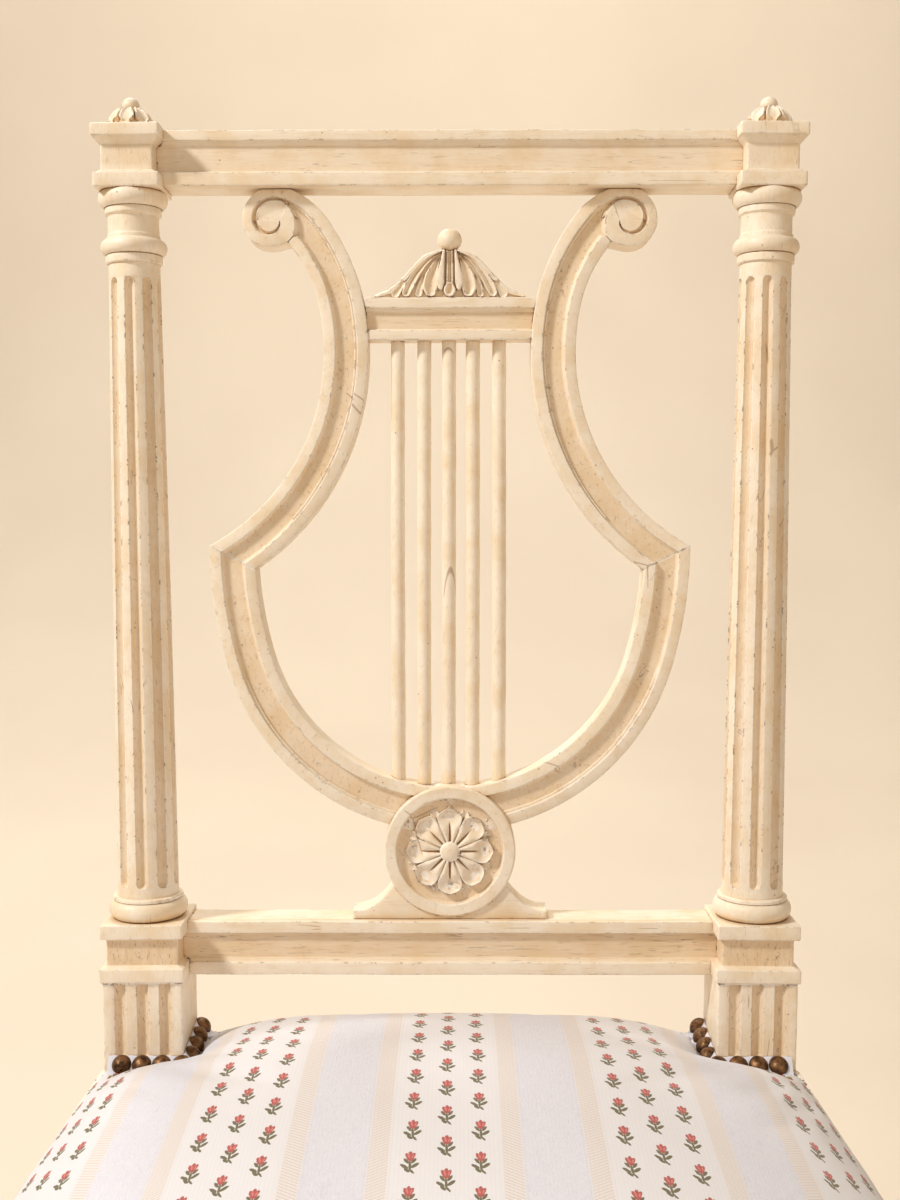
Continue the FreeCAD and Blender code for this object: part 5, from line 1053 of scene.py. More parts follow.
        # Tan glaze with painted shade in the stile's three hollows.
        glaze = np.concatenate([np.zeros((len(leg) + 2, x.shape[1])), sunk * 0.75])
        shell.grid(points, glaze, wrap=True, caps=True)

    def make(self) -> bpy.types.Object:
        """Join the parts of the post into one object."""
        shell = Shell()
        points, glaze = self.column()
        shell.grid(BACK.post(points, self.side), glaze, wrap=True)
        self.blocks(shell)
        self.leg(shell)
        piece = shell.make(f"post_{self.side.word}", self.finish)
        return stand_for(piece, "painted_wood", f"rear_post_{self.side.word}")


def carved_leaf(across: Array, rim: float, cup: float, vein: float) -> Array:
    """Section of a small carved leaf for a place from -1 to 1 across it.

    Args:
        across: place across the leaf, its edges at -1 and 1.
        rim: height of the raised edge, mm.
        cup: depth of the hollow, mm.
        vein: depth of the middle line, mm.

    Returns:
        rim exp(-((|a| - 0.74) / 0.2)^2) - cup (1 - a^2) - vein exp(-(a / 0.12)^2).
    """
    a = np.abs(across)
    return (rim * np.exp(-((a - 0.74) / 0.2) ** 2) - cup * np.clip(1 - a * a, 0, 1)
            - vein * np.exp(-(across / 0.12) ** 2))


@dataclass
class Finial:
    """Carved bud with a ball on each post's cap."""

    side: Side
    finish: bpy.types.Material
    base: float = 448.7
    leaves: int = 8

    def make(self) -> bpy.types.Object:
        """A turned bell whose radius is raised and hollowed by eight leaves."""
        bell = soften([(0, 0), (12.5, 0, 0.4), (12.7, 1.5, 1.0), (12.4, 3.4, 2.0), (11.5, 5.6, 3.0),
                       (10.3, 7.4, 3.0), (8.7, 9.4, 2.0), (6.4, 11.2, 1.5), (3.6, 12.4, 0.6),
                       (0, 12.8)], 0.5, False, 4)
        line = divide(bell, 0.5)
        points = turned(line, 224)
        angle = np.arctan2(points[..., 0], -points[..., 1])
        pitch = 2 * math.pi / self.leaves
        off = (angle + pitch / 2) % pitch - pitch / 2
        height = np.clip(line[:, 1] / 12.4, 0, 1)[:, None]
        half = pitch * (0.50 - 0.16 * rise(0.6, 1.0, height) - 0.30 * (1 - rise(0.16, 0.42, height)))
        across = off / half
        inside = rise(1.02, 0.86, np.abs(across))
        relief = inside * (0.7 + carved_leaf(across, 0.7, 0.95, 0.0)) - (1 - inside) * 1.5
        relief *= rise(0.12, 0.24, height) * rise(1.0, 0.9, height)
        length = np.hypot(points[..., 0], points[..., 1])
        scale = 1 + relief / np.maximum(length, 1.0)
        points[..., :2] *= scale[..., None]
        points[..., 2] += relief * 0.5
        turn = np.linspace(-math.pi / 2, math.pi / 2, 26)
        ball = turned(np.stack([4.85 * np.cos(turn), 13.9 + 4.35 * np.sin(turn)], -1), 56)
        # Tan glaze with painted shade where the bell is cut in between the leaves.
        shell = Shell().grid(points, np.clip(-relief * 0.6, 0, 1), wrap=True).grid(ball, wrap=True)
        lift = np.array([0.0, 0.0, self.base])
        shell.put(lambda p: BACK.post(p + lift, self.side))
        piece = shell.make(f"bud_{self.side.word}", self.finish, 60)
        return stand_for(piece, "painted_wood", f"finial_{self.side.word}")


@dataclass
class Moulding:
    """A straight piece with one section along its whole length."""

    name: str
    node: str
    section: tuple[tuple[float, ...], ...]
    reach: float
    front: float
    finish: bpy.types.Material
    glaze: float = 0.6

    def make(self) -> bpy.types.Object:
        """Sweep the section of depth and level between both ends."""
        line = divide(soften(self.section, 0.45, True, 3), 2.5, True)
        x = np.linspace(-self.reach, self.reach, int(self.reach / 3))
        wave = 0.09 * np.sin(x / 17.0) + 0.06 * np.sin(x / 7.3 + 2.0)
        y = line[None, :, 0] + wave[:, None] * 0.6
        z = line[None, :, 1] + wave[:, None]
        points = np.stack([np.broadcast_to(x[:, None], y.shape), y, z], -1)
        # Tan glaze with painted shade on the front's sunk panel.
        sunk = rise(0.9, 2.8, line[:, 0] - self.front) * (line[:, 0] < self.front + 4.0) * self.glaze
        shell = Shell().grid(BACK.lean(points), np.broadcast_to(sunk, y.shape), wrap=True, caps=True)
        return stand_for(shell.make(self.name, self.finish), "painted_wood", self.node)


CREST_SECTION = ((18.9, 447.6), (-6.5, 447.6, 0.7), (-6.5, 441.9), (-5.3, 441.7), (-5.0, 440.6, 0.9),
                 (-4.3, 439.7), (-3.5, 439.2), (-3.5, 425.2), (-4.9, 424.5), (-6.5, 424.1),
                 (-6.5, 416.7, 0.7), (18.9, 416.7))
LOWER_SECTION = ((18.9, -2.2), (-6.5, -2.2, 0.7), (-6.5, -9.0), (-5.0, -9.4), (-3.5, -10.1),
                 (-3.5, -23.9), (-4.3, -24.4), (-4.8, -25.5, 0.5), (-5.1, -26.1), (-6.5, -26.2),
                 (-6.5, -33.5, 0.7), (18.9, -33.5))
YOKE_SECTION = ((17.6, 355.8), (1.5, 355.8, 0.6), (1.5, 349.9), (2.7, 349.7), (3.0, 348.4, 0.6),
                (3.8, 347.7), (4.5, 347.4), (4.5, 338.2), (3.2, 337.6), (1.5, 337.3),
                (1.5, 331.8, 0.6), (17.6, 331.8))


# Lyre

@dataclass(frozen=True)
class Level:
    """One contour of a carved face: how far in from the channel's edge, and its depth."""

    inset: float
    depth: float
    beaded: float


CHANNEL_LEVELS = (Level(0.0, 0.0, 0.0), Level(0.22, 0.75, 0.75), Level(0.55, 1.6, 1.5),
                  Level(0.95, 2.2, 1.35), Level(1.45, 2.75, 1.3), Level(1.75, 2.95, 1.7),
                  Level(2.1, 3.0, 3.0))
ARRIS = ((0.0, 0.7), (0.2, 0.24), (0.65, 0.0))


@dataclass
class CarvedPlate:
    """A flat sawn piece with rounded arrises and, if wanted, a carved channel."""

    outline: Array
    front: float
    back: float
    channel: Array | None = None
    beaded: Callable[[Array], Array] | None = None
    glaze: float = 0.55

    def rings(self) -> list[tuple[Array, Array, Array]]:
        """Contours of the front face with their depths and share of glaze and painted shade."""
        rings = []
        for step, drop in ARRIS:
            ring = inset(self.outline, step) if step else self.outline
            rings.append((ring, np.full(len(ring), drop), np.zeros(len(ring))))
        if self.channel is None:
            return rings
        for level in CHANNEL_LEVELS:
            ring = inset(self.channel, level.inset) if level.inset else self.channel
            share = self.beaded(ring) if self.beaded else np.zeros(len(ring))
            depth = level.depth + (level.beaded - level.depth) * share
            # Tan glaze with painted shade on the channel's walls and floor, more the deeper in.
            glaze = self.glaze * rise(0.4, 1.7, np.array(level.inset))
            rings.append((ring, depth, np.full(len(ring), glaze)))
        return rings

    def face(self, rings: list[tuple[Array, Array, Array]], facing: float) -> tuple[Array, Array, Array]:
        """Triangles that join nested contours.

        Args:
            rings: contour points, depths and share of glaze and painted shade.
            facing: the face's own depth, with the contours' depths added or taken away.

        Returns:
            Points, triangles and share of glaze and painted shade.
        """
        flat = np.vstack([ring[0] for ring in rings])
        depth = np.concatenate([ring[1] for ring in rings])
        glaze = np.concatenate([ring[2] for ring in rings])
        edges, first = [], 0
        for ring, _, _ in rings:
            index = first + np.arange(len(ring))
            edges += np.stack([index, np.roll(index, -1)], -1).tolist()
            first += len(ring)
        result = delaunay_2d_cdt([Vector(p) for p in flat.tolist()], edges, [], 1, 1e-5)
        spots = np.array([tuple(p) for p in result[0]])
        source = np.array([origin[0] if origin else 0 for origin in result[3]])
        away = depth[source]
        y = facing + away * (1.0 if facing < self.back else -1.0)
        points = np.stack([spots[:, 0], y, spots[:, 1]], -1)
        return points, np.array([tuple(f) for f in result[2]]), glaze[source]

    def shell(self) -> Shell:
        """Front, back and sides as one closed shell in the plane of the back."""
        shell = Shell()
        shell.mesh(*self.face(self.rings(), self.front))
        plain = [(ring, drop, glaze) for ring, drop, glaze in self.rings()[:3]]
        shell.mesh(*self.face(plain, self.back))
        levels = np.linspace(self.front + ARRIS[0][1], self.back - ARRIS[0][1], 6)
        x, z = self.outline[:, 0], self.outline[:, 1]
        side = np.stack([np.stack([x, np.full(len(x), y), z], -1) for y in levels])
        return shell.grid(side, wrap=True)


@dataclass
class Lyre:
    """Arms, bowls, yoke, strings, crest, medallion and foot."""

    finishes: Finishes
    front: float = 0.5
    back: float = 18.9
    waist: tuple[float, float] = (-197.2, 325.0)
    waist_radius: float = 138.1
    arm: tuple[float, float] = (-157.0, 333.3)
    arm_radius: float = 97.0
    arm_half: float = 12.7
    bowl: tuple[float, float] = (0.0, 181.3)
    bowl_radius: float = 120.2
    flank: tuple[float, float] = (116.2, 215.3)
    flank_radius: float = 241.3
    bowl_half: float = 13.0
    blend_arm: float = 11.7
    blend_bowl: float = 16.3
    border: float = 6.3
    rail: float = 416.6

    def corners(self, step: float) -> tuple[Array, Array]:
        """Outer and inner corner of the shoulder, moved into the wood by a step."""
        outer = crossing(self.waist, self.waist_radius - self.arm_half + step,
                         self.flank, self.flank_radius + self.bowl_half - step, False)
        inner = crossing(self.waist, self.waist_radius + self.arm_half - step,
                         self.flank, self.flank_radius - self.bowl_half + step, False)
        return outer, inner

    def inner_side(self, step: float, top: float) -> Array:
        """The edge nearest the strings, from the middle of the bowl up to an angle on the arm."""
        _, corner = self.corners(step)
        bowl = self.bowl_half - step
        arm = self.arm_half - step
        return np.vstack([
            arc(self.bowl, self.bowl_radius - bowl, 270, 180 + self.blend_bowl),
            arc(self.flank, self.flank_radius - bowl, 180 + self.blend_bowl,
                angle_of(corner, self.flank) % 360)[1:],
            arc(self.waist, self.waist_radius + arm, angle_of(corner, self.waist), self.blend_arm)[1:],
            arc(self.arm, self.arm_radius + arm, self.blend_arm, top)[1:]])

    def outer_side(self, step: float, top: float) -> Array:
        """The edge nearest the posts, from an angle on the arm down to the middle of the bowl."""
        corner, _ = self.corners(step)
        bowl = self.bowl_half - step
        arm = self.arm_half - step
        return np.vstack([
            arc(self.arm, self.arm_radius - arm, top, self.blend_arm),
            arc(self.waist, self.waist_radius - arm, self.blend_arm, angle_of(corner, self.waist))[1:],
            arc(self.flank, self.flank_radius + bowl, angle_of(corner, self.flank) % 360,
                180 + self.blend_bowl)[1:],
            arc(self.bowl, self.bowl_radius + bowl, 180 + self.blend_bowl, 270)[1:]])

    def outline(self) -> Array:
        """The left half's edge: up its inner side, round the scroll and down its outer side."""
        shoulder = spline([(-66.9, 396.7), (-72.2, 403.4), (-76.5, 407.8), (-81.6, 411.7), (-87.2, 415.0),
                           (-90.6, self.rail)])
        scroll = spline([(-106.4, self.rail), (-109.9, 414.8), (-114.2, 410.4), (-117.0, 405.2),
                         (-117.8, 399.8), (-116.9, 394.0), (-113.6, 388.6), (-108.6, 385.2),
                         (-102.4, 384.1), (-97.0, 384.9),
                         (-93.0, 386.2)])
        inner = self.inner_side(0.0, 34.8)
        outer = self.outer_side(0.0, 39.6)
        return divide(np.vstack([inner, shoulder[1:], scroll, outer[1:]]), 0.8, True)

    def channel(self) -> Array:
        """The channel's edge, which runs on into the scroll as a narrowing spiral."""
        inner = self.inner_side(self.border, 41.0)
        hook = spline([(-78.6, 401.1), (-82.8, 405.0), (-87.5, 408.2), (-92.2, 410.5), (-96.2, 411.8),
                       (-99.6, 412.3), (-103.6, 411.7), (-107.6, 409.7), (-110.8, 406.1),
                       (-112.4, 401.4), (-111.8, 396.7),
                       (-109.4, 393.3), (-106.4, 391.4), (-103.0, 390.8), (-99.3, 391.8), (-96.9, 394.1),
                       (-96.0, 396.5), (-96.3, 398.8)], 9)
        back = spline([(-96.6, 398.8), (-97.2, 396.5), (-98.8, 394.2), (-100.8, 393.1), (-103.1, 392.8),
                       (-106.2, 394.0), (-108.6, 396.9), (-109.7, 400.8), (-108.6, 405.2),
                       (-105.6, 408.4),
                       (-102.0, 409.8), (-98.7, 410.0), (-95.9, 409.8)], 9)
        lobe = spline([(-95.9, 409.8), (-93.0, 408.0), (-90.9, 405.6), (-88.9, 401.8), (-88.1, 397.0),
                       (-88.2, 393.2), (-89.6, 389.6), (-92.3, 386.7)], 9)
        outer = self.outer_side(self.border, 38.6)
        corner = np.array([[-91.7, 386.4], [-88.8, 389.3]])
        edge = np.vstack([inner, hook[1:], back, lobe[1:], corner, outer])
        edge[:, 0] = np.minimum(edge[:, 0], -1.2)
        return divide(edge, 0.8, True)

    def beaded(self, ring: Array) -> Array:
        """Share of the bead: along the arm's inner wall and, more faintly, the bowl's outer wall."""
        arm = np.hypot(ring[:, 0] - self.arm[0], ring[:, 1] - self.arm[1]) - self.arm_radius
        waist = np.hypot(ring[:, 0] - self.waist[0], ring[:, 1] - self.waist[1]) - self.waist_radius
        upper = np.where(ring[:, 1] > 353, arm, waist)
        on_arm = (ring[:, 1] > 214) & (upper > 0) & (ring[:, 1] < 408) & (ring[:, 0] > -90.0)
        bowl = np.hypot(ring[:, 0], ring[:, 1] - self.bowl[1]) - self.bowl_radius
        on_bowl = (ring[:, 1] < 146) & (bowl > 0)
        return np.where(on_arm, rise(214, 224, ring[:, 1]) * rise(409, 400, ring[:, 1]),
                        np.where(on_bowl, 0.85 * rise(146, 136, ring[:, 1]), 0.0))

    def sides(self) -> list[bpy.types.Object]:
        """Saw each half at the shoulder's mitre into arm and bowl, and mirror them for the right."""
        plate = CarvedPlate(self.outline(), self.front, self.back, self.channel(), self.beaded)
        outer, inner = self.corners(0.0)
        pieces = []
        for side in Side:
            shell = plate.shell()
            flip = np.array([-side.value, 1.0, 1.0])
            shell.put(lambda p: BACK.lean(p * flip))
            whole = shell.make(f"lyre_{side.word}_whole", self.finishes.carved, 32)
            cut = BACK.lean(np.array([[o[0] * -side.value, y, o[1]] for o, y in
                                      ((outer, 0.0), (inner, 0.0), (outer, 18.0))])) * METRE
            normal = np.cross(cut[1] - cut[0], cut[2] - cut[0])
            normal /= np.linalg.norm(normal) * (1 if normal[2] > 0 else -1)
            for part, keep_upper in (("arm", True), ("bowl", False)):
                mesh = whole.data.copy()
                work = bmesh.new()
                work.from_mesh(mesh)
                gap = 0.00004 * (1 if keep_upper else -1)
                found = bmesh.ops.bisect_plane(work, geom=work.verts[:] + work.edges[:] + work.faces[:],
                                               plane_co=cut[0] + normal * gap, plane_no=normal,
                                               clear_inner=keep_upper, clear_outer=not keep_upper)
                rim = [e for e in found["geom_cut"] if isinstance(e, bmesh.types.BMEdge)]
                bmesh.ops.holes_fill(work, edges=rim, sides=0)
                bmesh.ops.recalc_face_normals(work, faces=work.faces)
                work.to_mesh(mesh)
                work.free()
                piece = finish_object(f"{part}_{side.word}", mesh, self.finishes.carved, 32)
                pieces.append(stand_for(piece, "painted_wood", f"lyre_{part}_{side.word}"))
            bpy.data.objects.remove(whole)
        return pieces

    def strings(self) -> list[bpy.types.Object]:
        """Five rods, each a little uneven, between yoke and bowl."""
        pieces = []
        for number, x in enumerate((-29.9, -14.8, -0.5, 13.3, 28.5), start=1):
            low = self.bowl[1] - math.sqrt((self.bowl_radius - self.bowl_half) ** 2 - x * x) - 2.5
            z = np.linspace(low, 333.0, 70)
            radius = 4.0 + 0.07 * np.sin(z / 9.0 + number) + 0.05 * np.sin(z / 3.7 + 2 * number)
            points = turned(np.stack([radius, z], -1), 36)
            points[..., 0] += x + 0.12 * np.sin(z / 60.0 + number)[:, None]
            points[..., 1] += 9.7
            shell = Shell().grid(BACK.lean(points), wrap=True, caps=True)
            piece = shell.make(f"rod_{number}", self.finishes.upright)
            pieces.append(stand_for(piece, "painted_wood", f"lyre_string_{number}"))
        return pieces

    def foot(self) -> bpy.types.Object:
        """The block with hollow shoulders under the medallion."""
        curve = spline([(-54.6, 2.6), (-50.5, 3.1), (-46.0, 4.7), (-42.0, 7.2), (-38.3, 10.6),
                        (-34.9, 14.6), (-32.2, 18.6)])
        under = arc((0.0, 37.7), 34.5, 270, 214.5)
        half = np.vstack([under, curve[::-1], [(-56.0, 2.6), (-56.0, -2.3), (0.0, -2.3)]])
        outline = divide(mirrored(half), 1.0, True)
        outline = outline[np.linalg.norm(outline - np.roll(outline, 1, 0), axis=1) > 1e-4]
        shell = CarvedPlate(outline, -1.5, 18.6).shell().put(BACK.lean)
        return stand_for(shell.make("foot_block", self.finishes.level, 32), "painted_wood", "lyre_foot")

    def make(self) -> None:
        """Make every piece of the lyre."""
        self.sides()
        self.strings()
        self.foot()
        Moulding("yoke", "lyre_yoke", YOKE_SECTION, 48.0, 1.5, self.finishes.level, 0.5).make()
        Medallion(self.finishes.carved).make()
        YokeCrest(self.finishes.carved).make()


@dataclass
class Medallion:
    """Turned disc with a rim, the flower carved in it and the flower's button."""

    finish: bpy.types.Material
    height: float = 37.7
    petals: int = 8

    def facing(self, points: Array) -> Array:
        """Stand a shape turned about z up, so that its z points to the front."""
        x, y, z = points[..., 0], points[..., 1], points[..., 2]
        return BACK.lean(np.stack([x, -z, self.height - y], -1))

    def flower(self) -> tuple[Array, Array]:
        """Height of the flower over the medallion's floor.

        Returns:
            Points and their share of glaze and painted shade on a grid of radius and angle. A petal is two
            swellings either side of a vein near the button, and a cup with a raised rim further out.
        """
        r = np.linspace(3.0, 27.4, 92)[:, None]
        angle = np.linspace(0, 2 * math.pi, 8 * 54, endpoint=False)[None, :]
        pitch = 2 * math.pi / self.petals
        number = np.round(angle / pitch)
        off = angle - number * pitch
        along, across = r * np.cos(off), r * np.sin(off)
        pointed = np.where(number % 8 == 0, 1.0, np.where(number % 4 == 2, 0.45, 0.1))
        tip = 25.2 + 1.4 * pointed
        body = np.interp(along, [0, 6, 10, 14, 17, 19.5, 22, 24, 25.2],
                         [1.5, 2.7, 4.4, 6.0, 7.0, 7.3, 6.7, 4.9, 2.4])
        ogee = body * (1 - pointed * 0.42 * rise(20.5, 25.0, along))
        half = np.maximum(ogee * np.sqrt(np.clip((tip - along) / 2.2, 0, 1)), 0.02)
        limit = np.maximum(along * math.tan(pitch / 2), 0.1)
        share = np.abs(across) / np.minimum(half, limit)
        inside = rise(1.04, 0.96, np.abs(across) / half) * (along < tip)
        base = rise(19.0, 12.5, along)
        swell = 1.7 + 2.1 * np.sin(math.pi * np.clip(share * 0.78 + 0.02, 0, 1)) ** 0.9
        cup = (1.0 + 2.2 * share ** 2.2 + 1.3 * rise(21.5, 25.6, along)
               - 0.5 * np.exp(-((along - 20.5) / 3.0) ** 2))
        petal = base * swell + (1 - base) * cup
        taper = np.interp(along, [5.5, 9, 13, 17], [0.75, 0.6, 0.38, 0.2])
        deep = np.where(number % 4 == 0, 1.3, 0.8)
        groove = deep * np.exp(-(across / taper) ** 2) * rise(18.0, 13.0, along) * rise(4.0, 7.0, along)
        valley = 0.4 * np.exp(-((limit - np.abs(across)) / 1.0) ** 2) * rise(20.5, 17.0, along)
        height = inside * (petal - groove - valley + 0.5)
        away = np.abs(np.abs(off) - pitch / 2)
        side_along, side_across = r * np.cos(away), r * np.sin(away)
        width = np.interp(side_along, [15, 20, 22.6, 24.4, 25.0], [2.2, 2.8, 2.9, 2.6, 0.4])
        notch = side_along < 24.9 - 1.9 * np.exp(-(side_across / 0.7) ** 2)
        sepal_share = side_across / np.maximum(width, 0.05)
        sepal = rise(1.08, 0.9, sepal_share) * notch * (1.1 + carved_leaf(sepal_share, 0.5, 0.5, 0.5))
        total = np.maximum(height, sepal)
        total = np.where((r > 26.9) | (total < 0.35), -1.0, total)
        points = np.stack([r * np.sin(angle), r * np.cos(angle) * -1.0, total + 0 * r], -1)
        # Tan glaze with painted shade in the petals' cups and veins, on the floor between petals and, less,
        # on the sepals.
        hollow = inside * (1 - base) * np.clip(1 - share * 1.2, 0, 1) * 0.8 + rise(0.25, 1.1, groove) * 0.9
        low = np.where(total < 0.3, 0.5, 0.0) + np.where((height <= sepal) & (total > 0.3), 0.2, 0.0)
        return points, np.clip(hollow * 0.7 + low, 0, 1)

    def make(self) -> None:
        """Make disc, flower and button."""
        rim = soften([(0, 0.4), (29.9, 0.4, 0.3), (30.5, 1.0, 0.4), (30.9, 3.3, 0.5), (31.4, 4.0, 0.5),
                      (37.2, 4.05, 0.8), (38.0, 3.1, 0.8), (38.0, -18.2, 0.8), (36.5, -19.0, 0.5),
                      (0, -19.0)], 0.5, False, 4)
        line = divide(rim, 2.0)
        points = turned(line, 200)
        points[..., 2] -= 0.5
        # Tan glaze with painted shade on the disc's sunk floor inside the rim.
        sunk = (line[:, 0] < 30.2) & (line[:, 1] > -1)
        disc = Shell().grid(points, sunk[:, None] * 0.65, wrap=True).put(self.facing)
        stand_for(disc.make("medallion_disc", self.finish), "painted_wood", "medallion")

        points, glaze = self.flower()
        under = points[[-1, 0]].copy()
        under[..., 2] = -1.6
        points = np.concatenate([points, under, points[:1]])
        glaze = np.concatenate([glaze, np.zeros((3, glaze.shape[1]))])
        points[..., 2] -= 0.5
        flower = Shell().grid(points, glaze, wrap=True).put(self.facing)
        stand_for(flower.make("flower", self.finish, 70), "painted_wood", "rosette")

        dome = soften([(0, -2.0), (5.2, -2.0, 0.2), (5.4, 1.2, 0.3), (6.0, 2.0, 0.8), (5.9, 3.3, 1.2),
                       (4.4, 4.7, 1.8), (2.2, 5.4, 2.0), (0, 5.55)], 0.5, False, 5)
        points = turned(divide(dome, 0.5), 64)
        # Tan glaze with painted shade round the button's foot, where it meets the flower.
        button = Shell().grid(points, (points[..., 2] < 1.2) * 0.8, wrap=True).put(self.facing)
        stand_for(button.make("flower_button", self.finish, 60), "painted_wood", "rosette_button")


@dataclass(frozen=True)
class Lobe:
    """One carved leaf drawn as a middle line with half widths."""

    path: tuple[tuple[float, float], ...]
    widths: tuple[float, ...]
    lift: float
    rim: float
    cup: float
    vein: float = 0.0

    def height(self, x: Array, z: Array) -> tuple[Array, Array]:
        """Height of the leaf over points of the crest's face, -9 outside it, and its hollow's share."""
        line = spline(self.path, 10)
        width = np.interp(np.linspace(0, 1, len(line)), np.linspace(0, 1, len(self.widths)), self.widths)
        gap = np.hypot(x[..., None] - line[:, 0], z[..., None] - line[:, 1]) / width
        nearest = gap.argmin(-1)
        share = np.take_along_axis(gap, nearest[..., None], -1)[..., 0]
        section = carved_leaf(share, self.rim, self.cup, self.vein)
        fall = 0.8 * rise(0.82, 1.0, share)
        body = self.lift + section - fall
        hollow = np.clip(1 - share * 1.25, 0, 1) * self.cup
        return np.where(share < 1.0, body, -9.0), np.where(share < 1.0, hollow, 0.0)


CREST_LOBES = (
    Lobe(((-1.35, 27.0), (-1.4, 16.0), (-1.5, 5.6)), (0.5, 0.62, 0.62), 2.0, 0.2, -0.5),
    Lobe(((-3.3, 26.6), (-4.1, 20.5), (-5.0, 14.0), (-5.4, 9.0), (-5.2, 5.6)),
         (0.7, 1.25, 2.0, 2.45, 1.5), 3.0, 0.1, -0.6),
    Lobe(((0.0, 6.5), (0.0, 4.2), (0.0, 3.4)), (2.2, 3.5, 3.1), 3.5, 0.9, 1.5),
    Lobe(((-6.3, 21.5), (-8.6, 17.0), (-10.4, 11.5), (-11.0, 6.4), (-10.8, 3.6)),
         (0.9, 2.5, 3.9, 4.4, 3.3), 2.9, 0.75, 1.9),
    Lobe(((-13.0, 14.0), (-16.2, 8.0), (-17.6, 2.4)), (0.6, 2.0, 2.2), 1.7, 0.4, 0.8),
    Lobe(((-5.5, 25.4), (-12.4, 21.3), (-18.6, 14.2), (-22.6, 7.6), (-24.8, 2.8)),
         (0.5, 1.7, 2.4, 2.9, 2.5), 2.6, 0.55, 1.3, 0.5),
    Lobe(((-4.5, 26.6), (-13.0, 23.6), (-19.4, 18.6), (-26.0, 11.6)), (0.7, 1.5, 1.8, 2.3), 2.2, 0.3, -0.3),
    Lobe(((-24.5, 11.0), (-28.0, 7.0), (-30.8, 2.4)), (0.9, 2.3, 2.7), 1.9, 0.4, 0.9),
    Lobe(((-29.5, 7.5), (-34.5, 4.0), (-41.6, 1.8)), (1.1, 2.0, 1.5), 1.5, 0.2, -0.4),
)


@dataclass
class YokeCrest:
    """Carved leaf crest with its ball, standing on the yoke."""

    finish: bpy.types.Material
    base: float = 355.7
    half: float = 43.4
    thickness: float = 13.0
    front: float = 5.0

    def top(self, x: Array) -> Array:
        """Height of the silhouette over the yoke at each place across."""
        return np.interp(np.abs(x), [0, 5, 7.8, 15, 20, 26, 32, 35, 40, 43.4],
                         [27.4, 27.3, 27.0, 24.0, 19.2, 12.6, 7.2, 4.9, 3.2, 1.6])

    def make(self) -> None:
        """Make the crest as the highest of its lobes over a sunk ground, and the ball."""
        x = np.linspace(-self.half, self.half, 380)[:, None]
        rows = np.linspace(0, 1, 120)[None, :]
        top = self.top(x)
        z = rows * top
        height = np.full(z.shape, 0.6)
        hollow = np.full(z.shape, 1.0)
        for lobe in CREST_LOBES:
            lift, cup = lobe.height(-np.abs(x) + 0 * z, z)
            hollow = np.where(lift > height, cup, hollow)
            height = np.maximum(height, lift)
        height += 1.2 * rise(0.0, 1.0, 1 - np.abs(x) / self.half) - 0.6
        rim = np.minimum(top - z, 1.2)
        height = height - 1.4 * (1 - rise(0.0, 1.0, rim / 1.2)) ** 2
        y = self.front - height
        face = np.stack([x + 0 * z, y, z + self.base], -1)
        back = np.stack([x + 0 * z, np.full(z.shape, self.front + self.thickness - 4.0), z + self.base], -1)
        bottom = np.stack([face[:, 0], back[:, 0]], 1)
        roof = np.stack([face[:, -1], back[:, -1]], 1)
        ends = [np.stack([face[k], back[k]], 1) for k in (0, -1)]
        # Tan glaze with painted shade in the leaves' cups, and the full share on the sunk ground between
        # them.
        shell = Shell().grid(face, np.clip(hollow, 0, 1) * 0.4).grid(back)
        for patch in (bottom, roof, *ends):
            shell.grid(patch)
        shell.put(BACK.lean)
        stand_for(shell.make("crest_leaves", self.finish, 75), "painted_wood", "yoke_crest")

        turn = np.linspace(-math.pi / 2, math.pi / 2, 30)
        ball = turned(np.stack([6.95 * np.cos(turn), 6.5 * np.sin(turn)], -1), 64)
        ball += np.array([0.0, self.front + 1.5, self.base + 33.0])
        shell = Shell().grid(ball, wrap=True).put(BACK.lean)
        stand_for(shell.make("crest_ball", self.finish), "painted_wood", "yoke_ball")


# Seat

EDGE_INSET = np.array([0, 2, 6, 12.5, 24, 45, 77, 120, 200.0])
EDGE_HEIGHT = np.array([0.2, 2.4, 8.0, 15.0, 25.0, 35.2, 43.3, 49.0, 50.6])


